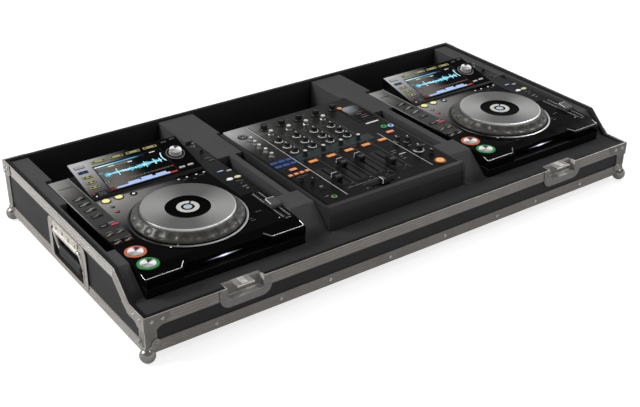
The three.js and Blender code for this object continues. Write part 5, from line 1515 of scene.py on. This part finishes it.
def press_dimples(body):
    """Presses the finger dimples into the slope of the wheel's rim."""
    for vert in body.verts:
        radius = math.hypot(vert.co.x, vert.co.y)
        if radius < 89.0 or vert.co.z < 2.0:
            continue
        turn = math.atan2(vert.co.y, vert.co.x) / (2 * math.pi) * DIMPLES
        away = (turn - round(turn)) * 2 * math.pi / DIMPLES * 96.0
        reach = math.hypot(away, (radius - DIMPLE_RADIUS) * 1.42) / 7.6
        depth = DIMPLE_DEPTH * math.exp(-(reach ** 5))
        vert.co.z -= depth * 0.75
        vert.co.xy *= 1 - depth * 0.75 / radius


def build_jog(side, start):
    """Jog wheel: spun top plate, dimpled smoked rim and the small round display in the middle."""
    wheel = Piece(f"{side}_jog", start + Vector((0, JOG_Y, COVER_Z)))
    rim = hoop(JOG_RIM, 288)
    press_dimples(rim)
    wheel.add(rim, smoke)
    wheel.add(lathe(JOG_TOP, 180), jog_silver)
    wheel.add(lathe(JOG_LIP, 180), jog_lip)
    wheel.add(hoop(JOG_DISPLAY, 120), jog_black)
    wheel.add(arc_band(12.5, 21.0, 53, 403, 19.0, 19.35, 72), pale_silver)
    wheel.add(lathe([(0, 19.0), (8.0, 19.0), (8.0, 19.25), (7.4, 19.4), (0, 19.4)], 40), jog_dot)
    wheel.done(f"{side}_jog", [f"{side}_player_jog_wheel"])


def stem():
    """The steel tongue that carries a slider's cap through its slot."""
    return box((-1.2, 1.2), (-4.5, 4.5), (-9.0, 2.0))


def add_tempo_cap(piece):
    """A broad low cap on its stem, with its pale rim on the rear and outer edges."""
    outline = [(-14.0, 1.0), (14.0, 1.0), (14.0, 5.0), (12.4, 9.8), (11.2, 11.2), (9.6, 11.9), (8.0, 11.4),
               (0.0, 10.4), (-9.0, 9.6), (-12.8, 8.4), (-14.0, 5.4)]
    piece.add(ease(profile_along_x(outline, (-10.0, 10.0)), 0.7, 3, 40), cap_grey)
    line = bend_path([(-9.6, -9.0, 9.4), (-9.6, 9.8, 11.3), (9.2, 9.8, 11.3)], 1.2, 4)
    piece.add(tube(line, 0.75, 10), print_white)
    piece.add(stem(), steel)


def add_fader_cap(piece, across=False, marked=True):
    """A ribbed cap on its stem, with a pale line up one far corner and along the far top edge."""
    width, half, height = 13.0, 10.0, 12.0
    outline = [(-half, 1.0), (half, 1.0), (half, height * 0.9), (half * 0.8, height),
               (half * 0.25, height * 0.93), (0, height * 0.88), (-half * 0.25, height * 0.93),
               (-half * 0.75, height * 0.98), (-half, height * 0.8)]
    body = ease(profile_along_x(outline, (-width / 2, width / 2)), 0.4, 2, 40)
    line = [(-width / 2, half - 0.6, height * 0.25), (-width / 2, half - 0.9, height),
            (width / 2 - 0.6, half - 0.9, height)]
    bodies = [(body, cap_black), (stem(), steel)]
    if marked:
        bodies.append((tube(bend_path(line, 1.4, 4), 0.6, 8), print_white))
    turn = Matrix.Rotation(math.radians(90 if across else 0), 4, "Z")
    for part, material in bodies:
        piece.add(part, material, turn)


# Mixer

PANEL_HALF, PANEL_FRONT = 158.2, 13.3
FADER_Y = 101.0
FADER_CAP_Y = (84.2, 128.0, 128.0, 84.2)
CROSS_X, CROSS_Y = -22.0, 24.0
EFFECT_PLACE = (129.0, 34.0)
LEVEL_PLACE = (125.0, 95.0)


def fader_slot(x):
    """Outline of the slot that a channel's fader runs in."""
    return rounded(3.6, 69.6, 0.6, (x, FADER_Y), 4)


def build_mixer():
    """The mixer: chassis, panel, faders, effect button and level knob."""
    start = Vector((0, MIXER_FRONT, DEVICE_Z))
    dress("mixer_chassis", mixer_shell, 0.7)
    panel = Piece("mixer_top", start)
    holes = [fader_slot(x) for x in CHANNELS]
    holes.append(rounded(54.6, 3.6, 0.6, (CROSS_X, CROSS_Y), 4))
    holes.append(circle(9.4, EFFECT_PLACE))
    holes.append(circle(3.3, LEVEL_PLACE, 20))
    outer = [(-PANEL_HALF, PANEL_FRONT), (PANEL_HALF, PANEL_FRONT), (PANEL_HALF, MIXER_DEPTH),
             (-PANEL_HALF, MIXER_DEPTH)]
    panel.add(plate(outer, holes, 78.5, MIXER_TOP), mixer_plate)
    mixer_lines(panel)
    mixer_channels(panel)
    mixer_left(panel)
    mixer_right(panel)
    panel.done("mixer", ["mixer_panel"])
    for i, (x, y) in enumerate(zip(CHANNELS, FADER_CAP_Y)):
        cap = Piece(f"channel_cap_{i + 1}", start + Vector((x, y, MIXER_TOP)))
        add_fader_cap(cap, marked=i < 3)
        cap.done(f"channel_fader_{i + 1}", [f"mixer_channel_fader_{i + 1}"])
    cap = Piece("cross_cap", start + Vector((CROSS_X + 3.0, CROSS_Y, MIXER_TOP)))
    add_fader_cap(cap, across=True)
    cap.done("crossfader", ["mixer_crossfader"])
    button = Piece("effect_key", start + Vector((*EFFECT_PLACE, MIXER_TOP)))
    button.add(lathe([(0, -5), (9, -5), (9, 1.9), (8.6, 2.6), (7.9, 3.0), (4.5, 2.75), (0, 2.65)], 48),
               lamp_orange)
    button.done("effect_button", ["mixer_effect_button"])
    knob = Piece("level_dial", start + Vector((*LEVEL_PLACE, MIXER_TOP)))
    add_dial(knob, 9.2, 12.0, knob_black, 0.0)
    knob.add(disc(3, -3, 1, 20), steel)
    knob.done("level_knob", ["mixer_level_knob"])


def add_dial(piece, radius, height, material, turn, place=(0, 0, 0), pointer=True, top=None):
    """A fluted knob on a skirt, with a pointer line and, where named, a top of another finish."""
    body = lathe([(0, 0.3), (radius, 0.3), (radius, 1.6), (radius * 0.95, 2.6), (radius * 0.86, 3.6),
                  (radius * 0.82, height - 1.0), (radius * 0.74, height), (radius * 0.4, height - 0.3),
                  (0, height - 0.35)], 40)
    for vert in body.verts:
        if 3.0 < vert.co.z < height - 0.5:
            around = math.atan2(vert.co.y, vert.co.x) / (2 * math.pi) * 20
            vert.co.xy *= 1 - 0.05 * (round(around * 2) % 2)
    piece.add(body, material, place)
    if top:
        r = radius * 0.7
        face = lathe([(0, height - 1.0), (r, height - 1.0), (r, height + 0.1), (r - 0.5, height + 0.5),
                      (r * 0.5, height + 0.4), (0, height + 0.4)], 32)
        piece.add(face, top, place)
    if pointer:
        line = box((-0.6, 0.6), (0.8, radius * 0.72), (height - 0.6, height + 0.1))
        line.transform(Matrix.Rotation(math.radians(turn), 4, "Z"))
        piece.add(line, print_white, place)


def mark(panel, x, y, material, rise=0.15):
    """A printed field on the mixer's panel."""
    panel.add(box(x, y, (MIXER_TOP - 0.2, MIXER_TOP + rise)), material)


def framed_key(panel, width, length, rise, material, x, y):
    """A key with a brown edge round its paler middle."""
    panel.add(key(width, length, rise * 0.7, 0.6), key_brown, (x, y, MIXER_TOP))
    panel.add(key(width - 2.2, length - 2.0, rise, 0.6), material, (x, y, MIXER_TOP))


def mixer_lines(panel):
    """Printed lines, scales and fields between the knobs and round the faders."""
    for x, y, material, rise in (
            ((-106.7, -105.5), (26, 378), print_beige, 0.15), ((-104.8, -102.6), (26, 378), cap_black, 0.1),
            ((104.4, 105.5), (29, 204), print_beige, 0.15), ((-100, 88), (190, 216), teal_strip, 0.08),
            ((-90.4, -10.0), (45.4, 46.2), print_grey, 0.12), ((-60, 18), (39.0, 39.8), print_dim, 0.15),
            ((-62, -58), (22.5, 25.5), print_dim, 0.15), ((14, 18), (22.5, 25.5), print_dim, 0.15)):
        mark(panel, x, y, material, rise)
    for x in (-66.0, -22.0, 22.0, 66.0):
        mark(panel, (x - 0.4, x + 0.4), (46, 372), strip_grey)
    for x in CHANNELS:
        field = rounded(26.0, 80.0, 0.5, (x, FADER_Y), 2)
        tint = plate(field, [fader_slot(x)], MIXER_TOP - 0.2, MIXER_TOP + 0.1)
        panel.add(tint, fader_tint)
        for i in range(11):
            y = 69.0 + 6.4 * i
            reach = 8.5 if i % 5 == 0 else 7.0
            for sign in (-1, 1):
                near, far = sorted((sign * 4.0, sign * reach))
                mark(panel, (x + near, x + far), (y - 0.25, y + 0.25), key_dark, 0.2)
        mark(panel, (x + 15.0, x + 18.5), (57.0, 58.4), print_grey)
        mark(panel, (x + 4.0, x + 9.0), (48.0, 49.2), print_dim)


def ring_marks(panel, x, y, radius, start, end, material):
    """A raised arc round the foot of a knob."""
    body = arc_band(radius, radius + 1.5, start, end, MIXER_TOP - 0.1, MIXER_TOP + 0.9)
    panel.add(body, material, (x, y, 0))


def mixer_channels(panel):
    """The knobs, meters, marks and cue keys of the four channels."""
    z = MIXER_TOP
    for i, x in enumerate(CHANNELS):
        add_dial(panel, 9.0, 13.5, knob_black, 20 * i, (x + 6.0, 350.0, z), pointer=False)
        add_dial(panel, 6.6, 10.5, knob_silver, -15 * i, (x + 6.0, 323.0, z), top=pale_silver)
        for y, turn in ((288.0, 10), (258.0, -25), (231.0, 15)):
            add_dial(panel, 7.0, 9.5, knob_black, turn * (i - 1), (x + 2.5, y, z))
            ring_marks(panel, x + 2.5, y, 7.3, 150, 372, print_white)
            ring_marks(panel, x + 2.5, y, 9.8, 172, 200, print_dim)
        add_dial(panel, 5.6, 12.0, knob_black, 30, (x + 9.0, 203.0, z), pointer=False, top=pale_silver)
        for step in range(8):
            mark(panel, (x + 17.0, x + 20.5), (218 + 7.5 * step, 221 + 7.5 * step), key_dark)
        for y, width in ((366.0, 7.0), (338.0, 9.0), (306.0, 6.0), (299.0, 10.0), (241.0, 5.0), (184.0, 8.0)):
            mark(panel, (x - 17.0, x - 17.0 + width), (y - 0.6, y + 0.6), print_dim)
    add_dial(panel, 9.0, 13.5, knob_black, 0, (97.0, 353.0, z), pointer=False)
    for x in (-80.0, -36.0, 8.0, 51.0, 93.0):
        framed_key(panel, 21.0, 10.6, 1.7, key_orange, x, 173.5)


def mixer_left(panel):
    """The socket, knobs and keys at the left of the channels."""
    z = MIXER_TOP
    for x, y in ((-132.0, 322.0), (-134.0, 303.0), (-136.0, 284.0), (-135.0, 262.0), (-136.0, 238.0)):
        add_dial(panel, 5.2, 8.5, knob_silver, 15, (x, y, z), pointer=False, top=pale_silver)
        ring_marks(panel, x, y, 6.0, 170, 330, print_dim)
    socket_place = (-137.0, 345.0, z)
    socket = lathe([(0, 0.2), (5.0, 0.2), (5.5, 1.6), (9.5, 1.6), (10.4, 1.1), (10.4, -0.2), (0, -0.2)], 48)
    panel.add(socket, cap_black, socket_place)
    panel.add(hoop([(5.2, 1.2), (8.2, 1.5), (8.2, 1.9), (5.2, 1.9)], 48), print_dim, socket_place)
    panel.add(lathe([(0, 0.1), (2.6, 0.1), (2.6, 1.0), (0, 1.1)], 24), print_grey, socket_place)
    for x in (-150.5, -132.6, -114.2):
        for y in (208.2, 190.8):
            panel.add(key(14.0, 8.4, 1.1), key_blue, (x, y, z))
            panel.add(key(10.5, 4.6, 1.3, 0.3), key_navy, (x, y, z))
    framed_key(panel, 17.0, 10.0, 1.7, key_salmon, -132.9, 166.3)
    for x in (-151.9, -138.4, -125.8, -113.0):
        framed_key(panel, 10.2, 9.0, 1.7, key_salmon, x, 147.2)
    mark(panel, (-146.0, -120.0), (134.0, 135.4), print_dim)
    panel.add(key(9, 15, 1.0), satin_black, (-130.0, 74.0, z))
    panel.add(key(6, 5, 3.4), knob_silver, (-130.0, 76.0, z))
    add_dial(panel, 4.0, 8.0, knob_black, 0, (-130.4, 104.1, z))
    add_dial(panel, 4.6, 9.0, knob_black, 0, (-146.0, 118.0, z), pointer=False)
    jack_place = (-131.5, 33.0, z)
    panel.add(hoop([(3.4, 0), (5.6, 0), (5.6, 0.9), (5.0, 1.3), (3.4, 1.2)], 40), key_moss, jack_place)
    panel.add(disc(3.3, 0.4, 1.0, 30), satin_black, jack_place)
    mark(panel, (-146.0, -138.0), (42.0, 43.2), print_grey)


def mixer_right(panel):
    """The display, lit keys, knobs and marks at the right of the channels."""
    z = MIXER_TOP
    panel.add(round_key(6.6, 1.0), key_brown, (113.0, 349.0, z))
    panel.add(round_key(5.2, 2.0), lamp_orange, (113.0, 349.0, z))
    middle = (134.0, 311.0)
    opening = rounded(44.0, 74.0, 1.0, middle)
    panel.add(plate(rounded(50.0, 80.0, 2.5, middle), [opening], z - 0.2, z + 1.0), cap_black)
    panel.add(box((112, 156), (274, 348), (z, z + 0.4)), display_face)
    for i in range(5):
        x = 126.0 + 5.0 * (i % 2)
        material = (print_dim, screen_maroon)[i % 2]
        mark(panel, (x, x + 18.0 - 3 * (i % 3)), (284.0 + 9 * i, 286.6 + 9 * i), material, 0.5)
    panel.add(key(33, 3.5, 1.2), print_white, (130.0, 254.0, z))
    for x, y, material in ((135.6, 222, lamp_green), (150.9, 218, lamp_blue)):
        ring = hoop([(3.4, 0), (6.4, 0), (6.4, 1.6), (5.6, 2.0), (3.4, 1.8)], 36)
        panel.add(ring, material, (x, y, z))
        panel.add(disc(3.4, 0.5, 1.5, 30), satin_black, (x, y, z))
    framed_key(panel, 19.0, 10.0, 1.6, key_salmon, 131.0, 195.0)
    for x, y, turn in ((116.0, 153.0, 20), (133.0, 141.0, -30)):
        add_dial(panel, 7.4, 10.0, knob_black, turn, (x, y, z))
        ring_marks(panel, x, y, 7.8, 170, 250, print_grey)
    ring_marks(panel, *LEVEL_PLACE, 9.7, 150, 372, print_white)
    add_dial(panel, 5.6, 9.0, knob_black, 0, (138.0, 70.0, z))
    mark(panel, (80.0, 96.0), (101.0, 103.0), print_white)
    for x, y, width in ((74.0, 120.0, 12.0), (72.0, 112.0, 8.0), (76.0, 92.0, 5.0), (74.0, 82.0, 9.0),
                        (120.0, 122.0, 8.0), (146.0, 108.0, 7.0)):
        mark(panel, (x, x + width), (y, y + 1.3), print_grey)
    collar = hoop([(9.4, -0.5), (12.0, -0.5), (12.0, 0.8), (11.0, 1.4), (9.4, 1.4)], 48)
    panel.add(collar, key_brown, (*EFFECT_PLACE, z))


build_case()
for side in SIDES:
    latch_dish(side)
    handle(side)
    build_player(side)
build_mixer()
